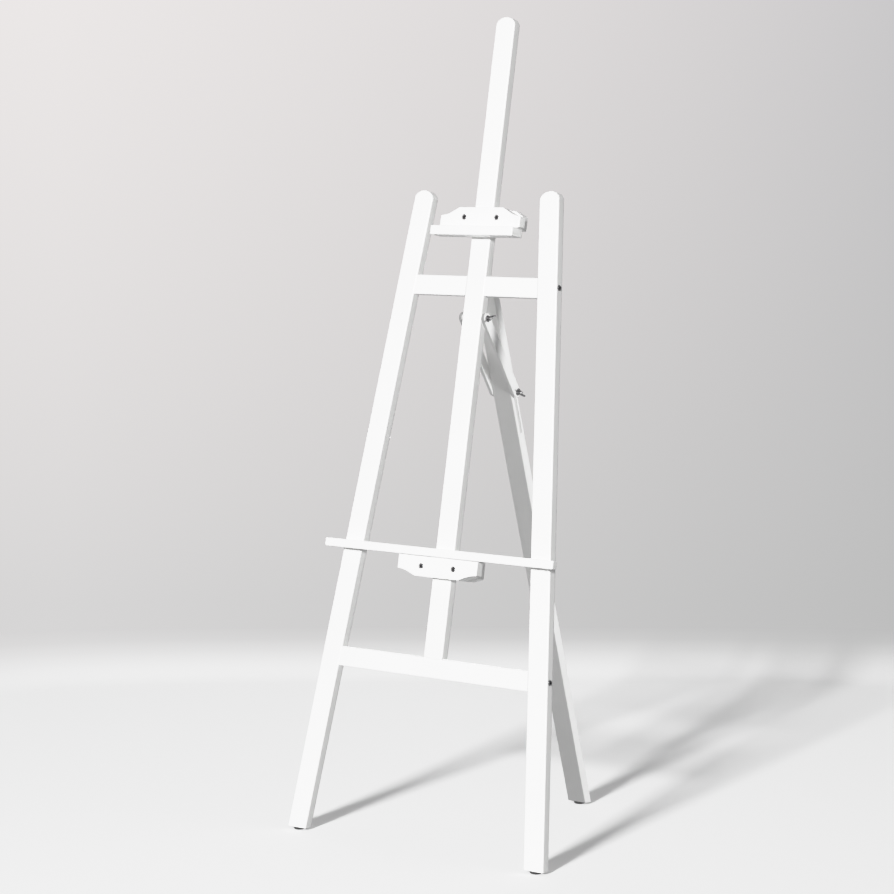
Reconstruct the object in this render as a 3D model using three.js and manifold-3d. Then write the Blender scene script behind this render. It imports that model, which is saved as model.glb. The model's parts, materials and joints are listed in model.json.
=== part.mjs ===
// White painted wooden H-frame studio easel, built from its real pieces.
// Millimetres, +Z up, the front faces -Y, X runs left to right seen from the front.
// The origin is on the floor, in the middle of the object's footprint.
//
// The front frame is drawn lying in its own plane and then leaned back: in that group
// x runs across, y runs up along the mast and z points out of the front face (z = 0).
// The rear leg and its braces have groups of their own, set at their real angles.
import * as THREE from 'three';
import { mergeVertices } from 'three/addons/utils/BufferGeometryUtils.js';
import Module from 'manifold-3d';

const wasm = await Module();
wasm.setup();

// ---------------------------------------------------------------- driving dimensions
const FIT = 0.3;                        // gap between pieces that touch
const STOCK_WIDTH = 51.5;               // planed timber of legs, mast and rear leg
const STOCK_THICKNESS = 21.5;
const LEAN = THREE.MathUtils.degToRad(10.46);        // front frame, back from vertical
const REAR_LEAN = THREE.MathUtils.degToRad(16.46);   // rear leg, forward from vertical

const LEG_LENGTH = 1450;                // along the frame, floor to the arched top
const LEG_HALF_SPREAD_FLOOR = 333.7;    // leg centre lines at the floor
const LEG_HALF_SPREAD_TOP = 173.5;      // and at the top
const ARCH_RISE = 19;                   // rounded tops of legs and mast

const CROSSBAR_HEIGHT = 43.5;
const UPPER_CROSSBAR_AT = 1238;
const LOWER_CROSSBAR_AT = 394.3;
const MAST_TOP = 1838.2;

const HINGE_AT = 1259;                  // hinge pin along the mast
const HINGE_BEHIND = 3.2;               // hinge pin behind the mast's back face
const KNUCKLE_RADIUS = 3;
const LEAF_THICKNESS = 1.5;
const LEAF_WIDTH = 44;                  // across the mast
const LEAF_REACH = 24;                  // pin to the mast leaf's top edge

const REAR_FACE_Y = 609.8;              // rear leg's front face where it meets the floor
const BRACE_PIVOT_AT = 1168.7;          // brace bolt along the mast
const BRACE_LENGTH = 201.3;             // between its two pins
const BRACE_WIDTH = 23;
const BRACE_THICKNESS = 9.5;
const SLOT_WIDTH = 8;
const SLOT_BELOW_PIN = 95;
const BRACE_PIN_RADIUS = 3;

const CLAMP_PLATE_HALF = 110.5;         // front clamp plates, both clamps
const REAR_PLATE_HALF = 83;             // rear clamp plates, shorter
const CLAMP_FLAT_HALF = 58;             // flat stretch of the shaped edge
const CLAMP_BOLT_HALF_PITCH = 45;

const TRAY_TOP_AT = 654.5;
const TRAY_HALF = 319;
const TRAY_THICKNESS = 18;
const TRAY_DEPTH = 32.6;
const TRAY_PLATE_HEIGHT = 45.5;         // of the clamp plate under the tray
const TRAY_END_HEIGHT = 32;             // and at its ends
const TRAY_BOLT_DROP = 22.5;            // bolts below the tray
const TRAY_CORNER_CUT = 14;             // clipped back corners of the tray

const LEDGE_AT = 1345.6;                // underside of the upper ledge
const LEDGE_HALF = 114.4;
const LEDGE_THICKNESS = 20.2;
const LEDGE_DEPTH = 38.7;
const LEDGE_PLATE_HEIGHT = 43.5;        // of the clamp plate on the ledge
const LEDGE_END_HEIGHT = 25;            // and at its ends
const LEDGE_BOLT_RISE = 21.3;           // bolts above the ledge
const LEDGE_PLATE_OFFSET = 8.5;         // plates sit to the right of the ledge's middle

const BOLT_RADIUS = 3;                  // M6 hardware throughout
const HOLE_RADIUS = 3.4;
const FOOT_RADIUS = 13;
const FOOT_HEIGHT = 6;
const ROUND = 16;                       // sides of a round section
const SCREW_SIDES = 8;                  // and of a small screw
const THROUGH = 300;                    // reach of a cutter that goes right through

// ---------------------------------------------------------------- derived positions
const BACK = -STOCK_THICKNESS;          // back face of the front frame, in its own group
const HALF_STOCK = STOCK_WIDTH / 2;
const LEG_SPLAY = Math.atan2(LEG_HALF_SPREAD_FLOOR - LEG_HALF_SPREAD_TOP, LEG_LENGTH);

// A point given across, along and in front of the leaned frame, in easel axes.
function framePoint(across, along, front) {
  return new THREE.Vector3(
    across,
    along * Math.sin(LEAN) - front * Math.cos(LEAN),
    along * Math.cos(LEAN) + front * Math.sin(LEAN),
  );
}

const HINGE = framePoint(0, HINGE_AT, BACK - HINGE_BEHIND);
const BRACE_PIVOT = framePoint(0, BRACE_PIVOT_AT, BACK / 2);

// The rear leg's group has its origin on the hinge pin, y up along the leg, z to its front.
const rearDown = new THREE.Vector3(0, Math.sin(REAR_LEAN), -Math.cos(REAR_LEAN));
const rearBack = new THREE.Vector3(0, Math.cos(REAR_LEAN), Math.sin(REAR_LEAN));
const REAR_FACE = HINGE.dot(rearBack) - REAR_FACE_Y * Math.cos(REAR_LEAN);
const REAR_LENGTH = (HINGE.z - REAR_FACE * Math.sin(REAR_LEAN)) / Math.cos(REAR_LEAN);

// The brace's lower pin sits on the rear leg's centre plane, BRACE_LENGTH from its pivot.
const REAR_CENTRE = REAR_FACE - STOCK_THICKNESS / 2;
const pivotInLeg = BRACE_PIVOT.clone().sub(HINGE);
const pivotDown = pivotInLeg.dot(rearDown);
const pivotBack = pivotInLeg.dot(rearBack);
const PIN_BACK = -REAR_CENTRE;
const PIN_DOWN = pivotDown + Math.sqrt(BRACE_LENGTH ** 2 - (PIN_BACK - pivotBack) ** 2);
const BRACE_PIN = HINGE.clone()
  .addScaledVector(rearDown, PIN_DOWN)
  .addScaledVector(rearBack, PIN_BACK);
const braceRun = BRACE_PIN.clone().sub(BRACE_PIVOT);
const BRACE_LEAN = Math.atan2(braceRun.y, -braceRun.z);

// ---------------------------------------------------------------- materials
const paint = new THREE.MeshStandardMaterial({ color: 0xf2f2f0, roughness: 0.45, metalness: 0 });
const steel = new THREE.MeshStandardMaterial({ color: 0x8d8f92, roughness: 0.35, metalness: 1 });
const darkSteel = new THREE.MeshStandardMaterial({ color: 0x2a2a2c, roughness: 0.4, metalness: 1 });
const dowelWood = new THREE.MeshStandardMaterial({ color: 0xcdb088, roughness: 0.7, metalness: 0 });
const rubber = new THREE.MeshStandardMaterial({ color: 0x1b1b1c, roughness: 0.8, metalness: 0 });

// ---------------------------------------------------------------- solid helpers
const easel = new THREE.Group();
const frame = new THREE.Group();
frame.rotation.x = Math.PI / 2 - LEAN;
const rearGroup = new THREE.Group();
rearGroup.position.copy(HINGE);
rearGroup.rotation.x = Math.PI / 2 + REAR_LEAN;
const braceGroup = new THREE.Group();
braceGroup.position.copy(BRACE_PIVOT);
braceGroup.rotation.x = Math.PI / 2 + BRACE_LEAN;
easel.add(frame, rearGroup, braceGroup);

function toSolid(geometry) {
  const bare = geometry.clone();
  bare.deleteAttribute('normal');
  bare.deleteAttribute('uv');
  const merged = mergeVertices(bare, 1e-4);
  return new wasm.Manifold(new wasm.Mesh({
    numProp: 3,
    vertProperties: Float32Array.from(merged.attributes.position.array),
    triVerts: Uint32Array.from(merged.index.array),
  }));
}

function toGeometry(solid) {
  const mesh = solid.getMesh();
  const geometry = new THREE.BufferGeometry();
  geometry.setAttribute('position', new THREE.BufferAttribute(mesh.vertProperties, 3));
  geometry.setIndex(new THREE.BufferAttribute(mesh.triVerts, 1));
  return geometry;
}

// body minus every cutter, all as geometries in the same axes
function cut(body, cutters) {
  const solid = cutters.reduce((left, cutter) => left.subtract(toSolid(cutter)), toSolid(body));
  return toGeometry(solid);
}

function join(pieces) {
  const solid = pieces.slice(1).reduce((sum, piece) => sum.add(toSolid(piece)), toSolid(pieces[0]));
  return toGeometry(solid);
}

function add(group, name, geometry, material) {
  const mesh = new THREE.Mesh(geometry, material);
  mesh.name = name;
  group.add(mesh);
}

// box from its lowest to its highest corner
function box(x0, y0, z0, x1, y1, z1) {
  return new THREE.BoxGeometry(x1 - x0, y1 - y0, z1 - z0)
    .translate((x0 + x1) / 2, (y0 + y1) / 2, (z0 + z1) / 2);
}

// prism of an outline in x and y, from z0 to z1
function prism(outline, z0, z1) {
  const options = { depth: z1 - z0, bevelEnabled: false, curveSegments: 10 };
  return new THREE.ExtrudeGeometry(outline, options).translate(0, 0, z0);
}

function polygon(points) {
  return new THREE.Shape(points.map(([x, y]) => new THREE.Vector2(x, y)));
}

// cylinders along x and along z, between two stations
function rodX(radius, x0, x1, y, z, sides = ROUND) {
  return new THREE.CylinderGeometry(radius, radius, x1 - x0, sides)
    .rotateZ(Math.PI / 2)
    .translate((x0 + x1) / 2, y, z);
}

function rodZ(radius, z0, z1, x, y, sides = ROUND) {
  return new THREE.CylinderGeometry(radius, radius, z1 - z0, sides)
    .rotateX(Math.PI / 2)
    .translate(x, y, (z0 + z1) / 2);
}

// cylinder along y
function rodY(radius, y0, y1, x, z, sides = ROUND) {
  return new THREE.CylinderGeometry(radius, radius, y1 - y0, sides).translate(x, (y0 + y1) / 2, z);
}

// Solid of revolution about y from [radius, height] points that start and end on the axis.
function lathe(profile, sides = ROUND) {
  return new THREE.LatheGeometry(profile.map(([radius, y]) => new THREE.Vector2(radius, y)), sides);
}

// flat bar with a rounded top, standing on y = y0 and centred on x = 0
function archedBar(y0, y1) {
  const outline = new THREE.Shape();
  outline.moveTo(-HALF_STOCK, y0);
  outline.lineTo(HALF_STOCK, y0);
  outline.lineTo(HALF_STOCK, y1 - ARCH_RISE);
  outline.absellipse(0, y1 - ARCH_RISE, HALF_STOCK, ARCH_RISE, 0, Math.PI, false);
  outline.closePath();
  return prism(outline, BACK, 0);
}

// ---------------------------------------------------------------- front frame
// Leg centre line and outer edge at a height along the frame.
function legCentre(along) {
  return LEG_HALF_SPREAD_FLOOR - along * Math.tan(LEG_SPLAY);
}

const LEVELS = [['lower', LOWER_CROSSBAR_AT], ['upper', UPPER_CROSSBAR_AT]];
const LEG_BOLT_HEAD_RADIUS = 5.5;
const LEG_BOLT_LENGTH = 62;             // from the leg's outer face into the crossbar
const NUT_IN_CROSSBAR = 22;             // barrel nut's centre from the crossbar's end
const BARREL_RADIUS = 5;
const BARREL_INSET = 4;                 // barrel nut's outer end, in from the front face
const COUNTERBORE_DEPTH = 4;
const COUNTERBORE_ROOM = 0.6;           // round a bolt's head
const SOCKET_RADIUS = 2.6;
const SOCKET_FLOOR = 2.4;               // bottom of a bolt's hex socket, above the head's seat
const SAWN_OFF = 20;                    // spare timber below the floor, cut away

// The bolt lies square to the leg, through its middle and into the crossbar's end grain.
// It is drawn for the right side, in a group turned with the leg: x out, y up the leg.
function legSide(side, parts) {
  const holder = new THREE.Group();
  holder.position.set(side * LEG_HALF_SPREAD_FLOOR, 0, 0);
  holder.rotation.z = side * LEG_SPLAY;
  frame.add(holder);
  const floorCut = box(-THROUGH, -THROUGH, -THROUGH, THROUGH, 0, THROUGH)
    .rotateX(LEAN)
    .rotateZ(-side * LEG_SPLAY);
  const cutters = [floorCut];
  for (const [level, height] of LEVELS) {
    const along = height / Math.cos(LEG_SPLAY);
    cutters.push(rodX(HOLE_RADIUS, -HALF_STOCK - 1, HALF_STOCK + 1, along, BACK / 2));
    const ends = [side * (HALF_STOCK - COUNTERBORE_DEPTH), side * (HALF_STOCK + 1)];
    const recess = LEG_BOLT_HEAD_RADIUS + COUNTERBORE_ROOM;
    cutters.push(rodX(recess, Math.min(...ends), Math.max(...ends), along, BACK / 2));

    const seat = HALF_STOCK - COUNTERBORE_DEPTH + FIT;
    const shank = rodX(BOLT_RADIUS, seat - LEG_BOLT_LENGTH, seat + 1, 0, 0);
    const head = rodX(LEG_BOLT_HEAD_RADIUS, seat, seat + COUNTERBORE_DEPTH + 1, 0, 0);
    const socket = rodX(SOCKET_RADIUS, seat + SOCKET_FLOOR, seat + THROUGH, 0, 0, 6);
    const bolt = cut(join([shank, head]), [socket]);
    if (side < 0) bolt.rotateZ(Math.PI);
    bolt.translate(0, along, BACK / 2);
    add(holder, `${parts}_${level}_leg_bolt`, bolt, steel);

    const nutAt = side * (-HALF_STOCK - NUT_IN_CROSSBAR);
    const barrel = cut(
      rodZ(BARREL_RADIUS, BACK + 2, -BARREL_INSET, nutAt, along),
      [rodX(HOLE_RADIUS, nutAt - 2 * BARREL_RADIUS, nutAt + 2 * BARREL_RADIUS, along, BACK / 2)],
    );
    add(holder, `${parts}_${level}_barrel_nut`, barrel, steel);
  }
  const length = LEG_LENGTH / Math.cos(LEG_SPLAY);
  add(holder, `${parts}_leg`, cut(archedBar(-SAWN_OFF, length), cutters), paint);
}
legSide(-1, 'left');
legSide(1, 'right');

// Crossbar between the legs, its ends cut to the legs' splay, bored for bolts and nuts.
function crossbar(height) {
  const low = height - CROSSBAR_HEIGHT / 2;
  const high = height + CROSSBAR_HEIGHT / 2;
  const endInset = HALF_STOCK / Math.cos(LEG_SPLAY) + FIT;
  const lowHalf = legCentre(low) - endInset;
  const highHalf = legCentre(high) - endInset;
  const outline = polygon([[-lowHalf, low], [lowHalf, low], [highHalf, high], [-highHalf, high]]);
  const bores = [];
  for (const side of [-1, 1]) {
    const along = height / Math.cos(LEG_SPLAY);
    const inner = -HALF_STOCK - LEG_BOLT_LENGTH;
    const shank = rodX(HOLE_RADIUS, inner, 0, 0, 0);
    if (side < 0) shank.rotateZ(Math.PI);
    shank.translate(0, along, BACK / 2);
    const nutAt = side * (-HALF_STOCK - NUT_IN_CROSSBAR);
    const nut = rodZ(BARREL_RADIUS + FIT, BACK - 1, -BARREL_INSET + FIT, nutAt, along);
    for (const bore of [shank, nut]) {
      bores.push(bore.rotateZ(side * LEG_SPLAY).translate(side * LEG_HALF_SPREAD_FLOOR, 0, 0));
    }
  }
  return cut(prism(outline, BACK, 0), bores);
}

const MAST_BOTTOM = LOWER_CROSSBAR_AT + CROSSBAR_HEIGHT / 2 + FIT;
const LAP_DEPTH = STOCK_THICKNESS / 2;
const DOWEL_RADIUS = 5;
const DOWEL_REACH = 28;
const dowelAt = [0, BACK / 2];
const LAP_SCREW_XS = [-12, 12];
const PILOT_RADIUS = 2;                 // screw holes in timber
const HEAD_SEAT_RADIUS = 4.2;           // countersinks for screw heads
const HEAD_SEAT_DEPTH = 2.6;
const LAP_SCREW_TIP = -6;               // screw tips, behind the front face

// The mast runs in front of the upper crossbar in a half lap, and stands on the lower one.
const lapLow = UPPER_CROSSBAR_AT - CROSSBAR_HEIGHT / 2 - FIT;
const lapHigh = UPPER_CROSSBAR_AT + CROSSBAR_HEIGHT / 2 + FIT;
const lapScrewHoles = LAP_SCREW_XS.map(
  (x) => rodZ(PILOT_RADIUS, BACK - 1, LAP_SCREW_TIP + 1, x, UPPER_CROSSBAR_AT, SCREW_SIDES),
);
const lapHeadSeats = LAP_SCREW_XS.map(
  (x) => rodZ(HEAD_SEAT_RADIUS, BACK - 1, BACK + HEAD_SEAT_DEPTH, x, UPPER_CROSSBAR_AT, SCREW_SIDES),
);
const LEAF_SCREW_RISE = 14;             // leaf screws above the hinge pin
const LEAF_SCREW_XS = [-14, 14];
const LEAF_SCREW_LENGTH = 14;
const LEAF_PILOT_RADIUS = 1.6;
const LEAF_HOLE_RADIUS = 2.2;
const mastLeafHoles = LEAF_SCREW_XS.map((x) => rodZ(
  LEAF_PILOT_RADIUS, BACK - 1, BACK + LEAF_SCREW_LENGTH + 1, x, HINGE_AT + LEAF_SCREW_RISE, SCREW_SIDES,
));
add(frame, 'mast', cut(archedBar(MAST_BOTTOM, MAST_TOP), [
  box(-THROUGH, lapLow, BACK - 1, THROUGH, lapHigh, -LAP_DEPTH + FIT / 2),
  rodY(DOWEL_RADIUS + FIT, MAST_BOTTOM - 5, MAST_BOTTOM + DOWEL_REACH, ...dowelAt),
  rodX(HOLE_RADIUS, -THROUGH, THROUGH, BRACE_PIVOT_AT, BACK / 2),
  ...lapScrewHoles,
  ...mastLeafHoles,
]), paint);
add(frame, 'upper_crossbar', cut(crossbar(UPPER_CROSSBAR_AT), [
  box(-HALF_STOCK - FIT, lapLow - 5, -LAP_DEPTH - FIT / 2, HALF_STOCK + FIT, lapHigh + 5, 5),
  ...lapScrewHoles,
  ...lapHeadSeats,
]), paint);
add(frame, 'lower_crossbar', cut(crossbar(LOWER_CROSSBAR_AT), [
  rodY(DOWEL_RADIUS + FIT, MAST_BOTTOM - DOWEL_REACH, MAST_BOTTOM + 5, ...dowelAt),
]), paint);
add(frame, 'mast_foot_dowel', rodY(
  DOWEL_RADIUS, MAST_BOTTOM - DOWEL_REACH + 1, MAST_BOTTOM + DOWEL_REACH - 1, ...dowelAt,
), dowelWood);

// Flat-head wood screw along +y: its head flush at y = 0, with a cross recess.
function woodScrew(length) {
  const screw = lathe([
    [0, 0], [3.8, 0], [3.8, 0.4], [1.7, 2.4], [1.3, length - 2], [0, length],
  ], SCREW_SIDES);
  return cut(screw, [box(-0.5, -1, -2.6, 0.5, 0.9, 2.6), box(-2.6, -1, -0.5, 2.6, 0.9, 0.5)]);
}

const HEAD_SUNK = 0.2;                  // screw heads below the timber's face
['left_lap_screw', 'right_lap_screw'].forEach((name, i) => {
  const screw = woodScrew(LAP_SCREW_TIP - BACK)
    .rotateX(Math.PI / 2)
    .translate(LAP_SCREW_XS[i], UPPER_CROSSBAR_AT, BACK + HEAD_SUNK);
  add(frame, name, screw, steel);
});

// ---------------------------------------------------------------- hinge
// Five-knuckle butt hinge: three knuckles on the mast's leaf and two on the rear leg's.
const KNUCKLES = 5;
const knuckleLength = LEAF_WIDTH / KNUCKLES;
const PIN_RADIUS = 1.5;
const PIN_BORE_RADIUS = 1.65;
const hingeZ = BACK - HINGE_BEHIND;

function knuckles(first, y, z) {
  const rods = [];
  for (let i = first; i < KNUCKLES; i += 2) {
    const x0 = -LEAF_WIDTH / 2 + i * knuckleLength + FIT / 2;
    rods.push(rodX(KNUCKLE_RADIUS, x0, x0 + knuckleLength - FIT, y, z));
  }
  return rods;
}

// Room in a leaf for the other leaf's knuckles, which turn past its edge.
function knuckleRoom(first, y, z) {
  const rooms = [];
  for (let i = first; i < KNUCKLES; i += 2) {
    const x0 = -LEAF_WIDTH / 2 + i * knuckleLength - FIT / 2;
    rooms.push(rodX(KNUCKLE_RADIUS + FIT, x0, x0 + knuckleLength + FIT, y, z));
  }
  return rooms;
}

const mastLeafPlate = box(
  -LEAF_WIDTH / 2, HINGE_AT, BACK - FIT - LEAF_THICKNESS, LEAF_WIDTH / 2, HINGE_AT + LEAF_REACH, BACK - FIT,
);
add(frame, 'hinge_mast_leaf', cut(join([mastLeafPlate, ...knuckles(0, HINGE_AT, hingeZ)]), [
  ...knuckleRoom(1, HINGE_AT, hingeZ),
  rodX(PIN_BORE_RADIUS, -LEAF_WIDTH, LEAF_WIDTH, HINGE_AT, hingeZ),
  ...LEAF_SCREW_XS.map(
    (x) => rodZ(LEAF_HOLE_RADIUS, BACK - 5, BACK + 5, x, HINGE_AT + LEAF_SCREW_RISE, SCREW_SIDES),
  ),
]), darkSteel);
const pinHalf = LEAF_WIDTH / 2 + 1;
add(frame, 'hinge_pin', rodX(PIN_RADIUS, -pinHalf, pinHalf, HINGE_AT, hingeZ), darkSteel);

// Round-head screw along +y: its domed head rests on y = 0 and its shank goes up.
function panScrew(length) {
  return lathe([
    [0, -1.9], [2.4, -1.6], [3.4, -0.6], [3.4, 0], [1.3, 0], [1.3, length - 2], [0, length],
  ], SCREW_SIDES);
}

LEAF_SCREW_XS.forEach((x, i) => {
  const face = BACK - FIT - LEAF_THICKNESS - FIT / 2;
  const screw = panScrew(LEAF_SCREW_LENGTH)
    .rotateX(Math.PI / 2)
    .translate(x, HINGE_AT + LEAF_SCREW_RISE, face);
  add(frame, `hinge_mast_screw_${i + 1}`, screw, darkSteel);
});

// ---------------------------------------------------------------- rear leg
const REAR_TOP = -KNUCKLE_RADIUS - FIT;              // wood starts just under the top leaf
const HINGE_BEVEL_LENGTH = 47;                       // front of the top end, planed back
const HINGE_BEVEL_DEPTH = 4.4;
const REAR_BACK = REAR_FACE - STOCK_THICKNESS;
const endScrewZ = REAR_FACE - 15.5;                  // leaf screws in the leg's end grain

const rearBody = box(
  -HALF_STOCK, -REAR_LENGTH - 3 * SAWN_OFF, REAR_BACK, HALF_STOCK, REAR_TOP, REAR_FACE,
);
const bevelSide = polygon([
  [REAR_FACE + 1, REAR_TOP - HINGE_BEVEL_LENGTH - 1],
  [REAR_FACE, REAR_TOP - HINGE_BEVEL_LENGTH],
  [REAR_FACE - HINGE_BEVEL_DEPTH, REAR_TOP],
  [REAR_FACE - HINGE_BEVEL_DEPTH, REAR_TOP + 5],
  [REAR_FACE + 1, REAR_TOP + 5],
]);
const bevel = prism(bevelSide, -HALF_STOCK - 1, HALF_STOCK + 1).rotateY(-Math.PI / 2);
const rearFloorCut = box(-THROUGH, -THROUGH, -THROUGH, THROUGH, 0, THROUGH)
  .rotateX(-REAR_LEAN)
  .translate(0, -REAR_LENGTH, REAR_FACE);

const slotTop = -PIN_DOWN + 1;
const slotBottom = -PIN_DOWN - SLOT_BELOW_PIN;
function slotSolid(x0, x1) {
  return join([
    box(x0, slotBottom, REAR_CENTRE - SLOT_WIDTH / 2, x1, slotTop, REAR_CENTRE + SLOT_WIDTH / 2),
    rodX(SLOT_WIDTH / 2, x0, x1, slotTop, REAR_CENTRE),
    rodX(SLOT_WIDTH / 2, x0, x1, slotBottom, REAR_CENTRE),
  ]);
}

const endScrewHoles = LEAF_SCREW_XS.map(
  (x) => rodY(LEAF_PILOT_RADIUS, REAR_TOP - LEAF_SCREW_LENGTH - 2, REAR_TOP + 1, x, endScrewZ, SCREW_SIDES),
);
add(rearGroup, 'rear_leg', cut(rearBody, [
  bevel, rearFloorCut, slotSolid(-HALF_STOCK - 1, HALF_STOCK + 1), ...endScrewHoles,
]), paint);

const leafTop = -KNUCKLE_RADIUS + LEAF_THICKNESS;
const legLeafPlate = box(-LEAF_WIDTH / 2, -KNUCKLE_RADIUS, REAR_BACK + 1, LEAF_WIDTH / 2, leafTop, 0);
add(rearGroup, 'hinge_leg_leaf', cut(join([legLeafPlate, ...knuckles(1, 0, 0)]), [
  ...knuckleRoom(0, 0, 0),
  rodX(PIN_BORE_RADIUS, -LEAF_WIDTH, LEAF_WIDTH, 0, 0),
  ...LEAF_SCREW_XS.map((x) => rodY(LEAF_HOLE_RADIUS, -10, 10, x, endScrewZ, SCREW_SIDES)),
]), darkSteel);
LEAF_SCREW_XS.forEach((x, i) => {
  const screw = panScrew(LEAF_SCREW_LENGTH)
    .rotateX(Math.PI)
    .translate(x, leafTop + FIT / 2, endScrewZ);
  add(rearGroup, `hinge_leg_screw_${i + 1}`, screw, darkSteel);
});

// ---------------------------------------------------------------- braces
// The two braces lie on either side of the mast and the rear leg, on one swinging pair.
const BRACE_INNER = HALF_STOCK + FIT;
const BRACE_OUTER = BRACE_INNER + BRACE_THICKNESS;

function braceStick(side) {
  const outline = new THREE.Shape();
  const r = BRACE_WIDTH / 2;
  outline.absarc(0, 0, r, 0, Math.PI, false);
  outline.absarc(0, -BRACE_LENGTH, r, Math.PI, 2 * Math.PI, false);
  outline.closePath();
  const stick = prism(outline, 0, BRACE_THICKNESS).rotateY(Math.PI / 2).translate(
    side > 0 ? BRACE_INNER : -BRACE_OUTER, 0, 0,
  );
  return cut(stick, [0, -BRACE_LENGTH].map((y) => rodX(HOLE_RADIUS, -THROUGH, THROUGH, y, 0)));
}
add(braceGroup, 'left_brace', braceStick(-1), paint);
add(braceGroup, 'right_brace', braceStick(1), paint);

const WASHER_THICKNESS = 1.5;
const WASHER_RADIUS = 7;
const BRACE_HEAD_RADIUS = 5.5;
const BRACE_HEAD_LENGTH = 4;
const BRACE_BOLT_PAST = 14;             // bolt's end beyond the right brace
const NUT_BODY_RADIUS = 6;
const NUT_BODY_LENGTH = 7;
const WING_SPAN = 15;                   // centre to wing tip
const WING_HEIGHT = 12;

// A pan-headed bolt across both braces: head on the left, wing nut on the right.
function braceBolt(y, z) {
  const seat = -BRACE_OUTER - FIT;
  const head = rodX(BRACE_HEAD_RADIUS, seat - BRACE_HEAD_LENGTH, seat, y, z);
  const shank = rodX(BRACE_PIN_RADIUS, seat - 1, BRACE_OUTER + BRACE_BOLT_PAST, y, z);
  return join([head, shank]);
}
const washerX = BRACE_OUTER + FIT;
const nutX = washerX + WASHER_THICKNESS + FIT;

function washerSolid() {
  return cut(rodZ(WASHER_RADIUS, 0, WASHER_THICKNESS, 0, 0), [rodZ(BOLT_RADIUS + FIT, -1, 5, 0, 0)]);
}

// Wing nut along z, seated on z = 0: a conical hub with two upswept rounded wings.
function wingNut() {
  const hub = lathe([
    [0, 0], [NUT_BODY_RADIUS, 0], [NUT_BODY_RADIUS - 1.5, NUT_BODY_LENGTH], [0, NUT_BODY_LENGTH],
  ]).rotateX(Math.PI / 2);
  const wing = new THREE.Shape();
  wing.moveTo(3, 1);
  wing.lineTo(NUT_BODY_RADIUS, 1.2);
  wing.quadraticCurveTo(WING_SPAN - 2, 2.4, WING_SPAN, WING_HEIGHT - 4);
  wing.absarc(WING_SPAN - 3, WING_HEIGHT - 3, 3, 0, Math.PI * 0.85, false);
  wing.quadraticCurveTo(NUT_BODY_RADIUS + 1, NUT_BODY_LENGTH, 3, NUT_BODY_LENGTH - 0.5);
  wing.closePath();
  const options = { depth: 2.6, bevelEnabled: false, curveSegments: 6 };
  const right = new THREE.ExtrudeGeometry(wing, options).translate(0, 0, -1.3).rotateX(Math.PI / 2);
  const left = right.clone().rotateZ(Math.PI);
  const body = toSolid(hub).add(toSolid(right)).add(toSolid(left));
  return toGeometry(body.subtract(toSolid(rodZ(BOLT_RADIUS + FIT, -1, THROUGH, 0, 0))));
}

// geometry drawn along +z, turned to run along +x from (x, y, z)
function alongX(geometry, x, y, z, turn = 0) {
  return geometry.rotateZ(turn).rotateY(Math.PI / 2).translate(x, y, z);
}

add(frame, 'brace_top_bolt', braceBolt(BRACE_PIVOT_AT, BACK / 2), steel);
add(frame, 'brace_top_washer', alongX(washerSolid(), washerX, BRACE_PIVOT_AT, BACK / 2), steel);
add(frame, 'brace_top_wing_nut', alongX(wingNut(), nutX, BRACE_PIVOT_AT, BACK / 2, Math.PI * 0.2), steel);
add(braceGroup, 'brace_pin_bolt', braceBolt(-BRACE_LENGTH, 0), steel);
add(braceGroup, 'brace_pin_washer', alongX(washerSolid(), washerX, -BRACE_LENGTH, 0), steel);
add(braceGroup, 'brace_pin_wing_nut', alongX(wingNut(), nutX, -BRACE_LENGTH, 0, Math.PI * 0.6), steel);

// ---------------------------------------------------------------- clamps
// Outline of a shaped clamp plate: straight along the board, lower at its ends, with a cove
// on each side up to the flat stretch. "away" is +1 when it grows up from y = base.
function clampOutline(base, away, height, endHeight) {
  const rise = height - endHeight;
  const reach = CLAMP_PLATE_HALF - CLAMP_FLAT_HALF;
  const shoulder = base + away * endHeight;
  const top = base + away * height;
  const outline = new THREE.Shape();
  outline.moveTo(-CLAMP_PLATE_HALF, base);
  outline.lineTo(CLAMP_PLATE_HALF, base);
  outline.lineTo(CLAMP_PLATE_HALF, shoulder);
  const bend = 0.55;
  outline.bezierCurveTo(
    CLAMP_PLATE_HALF - reach * bend, shoulder + away * rise * 0.1,
    CLAMP_FLAT_HALF + reach * (1 - bend) * 0.5, top - away * rise * 0.1,
    CLAMP_FLAT_HALF, top,
  );
  outline.lineTo(-CLAMP_FLAT_HALF, top);
  outline.bezierCurveTo(
    -CLAMP_FLAT_HALF - reach * (1 - bend) * 0.5, top - away * rise * 0.1,
    -CLAMP_PLATE_HALF + reach * bend, shoulder + away * rise * 0.1,
    -CLAMP_PLATE_HALF, shoulder,
  );
  outline.closePath();
  return outline;
}

const FRONT_PLATE_BACK = FIT;
const FRONT_PLATE_FACE = FRONT_PLATE_BACK + STOCK_THICKNESS;
const REAR_PLATE_FACE = BACK - FIT;
const REAR_PLATE_BACK = REAR_PLATE_FACE - STOCK_THICKNESS;
const BOLT_HEAD_RADIUS = 5;
const BOLT_HEAD_LENGTH = 6;
const BOLT_SEAT = FRONT_PLATE_FACE - 7.5;            // bottom of the counterbore
const BOLT_PAST = 16;                                // bolt's end behind the rear plate
const COUNTERBORE_RADIUS = 6.6;
const BOARD_SCREW_XS = [-80, 80];
const BOARD_SCREW_LENGTH = 32;
const BOARD_SCREW_REACH = 34;                        // its hole, from the board's outer face

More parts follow.
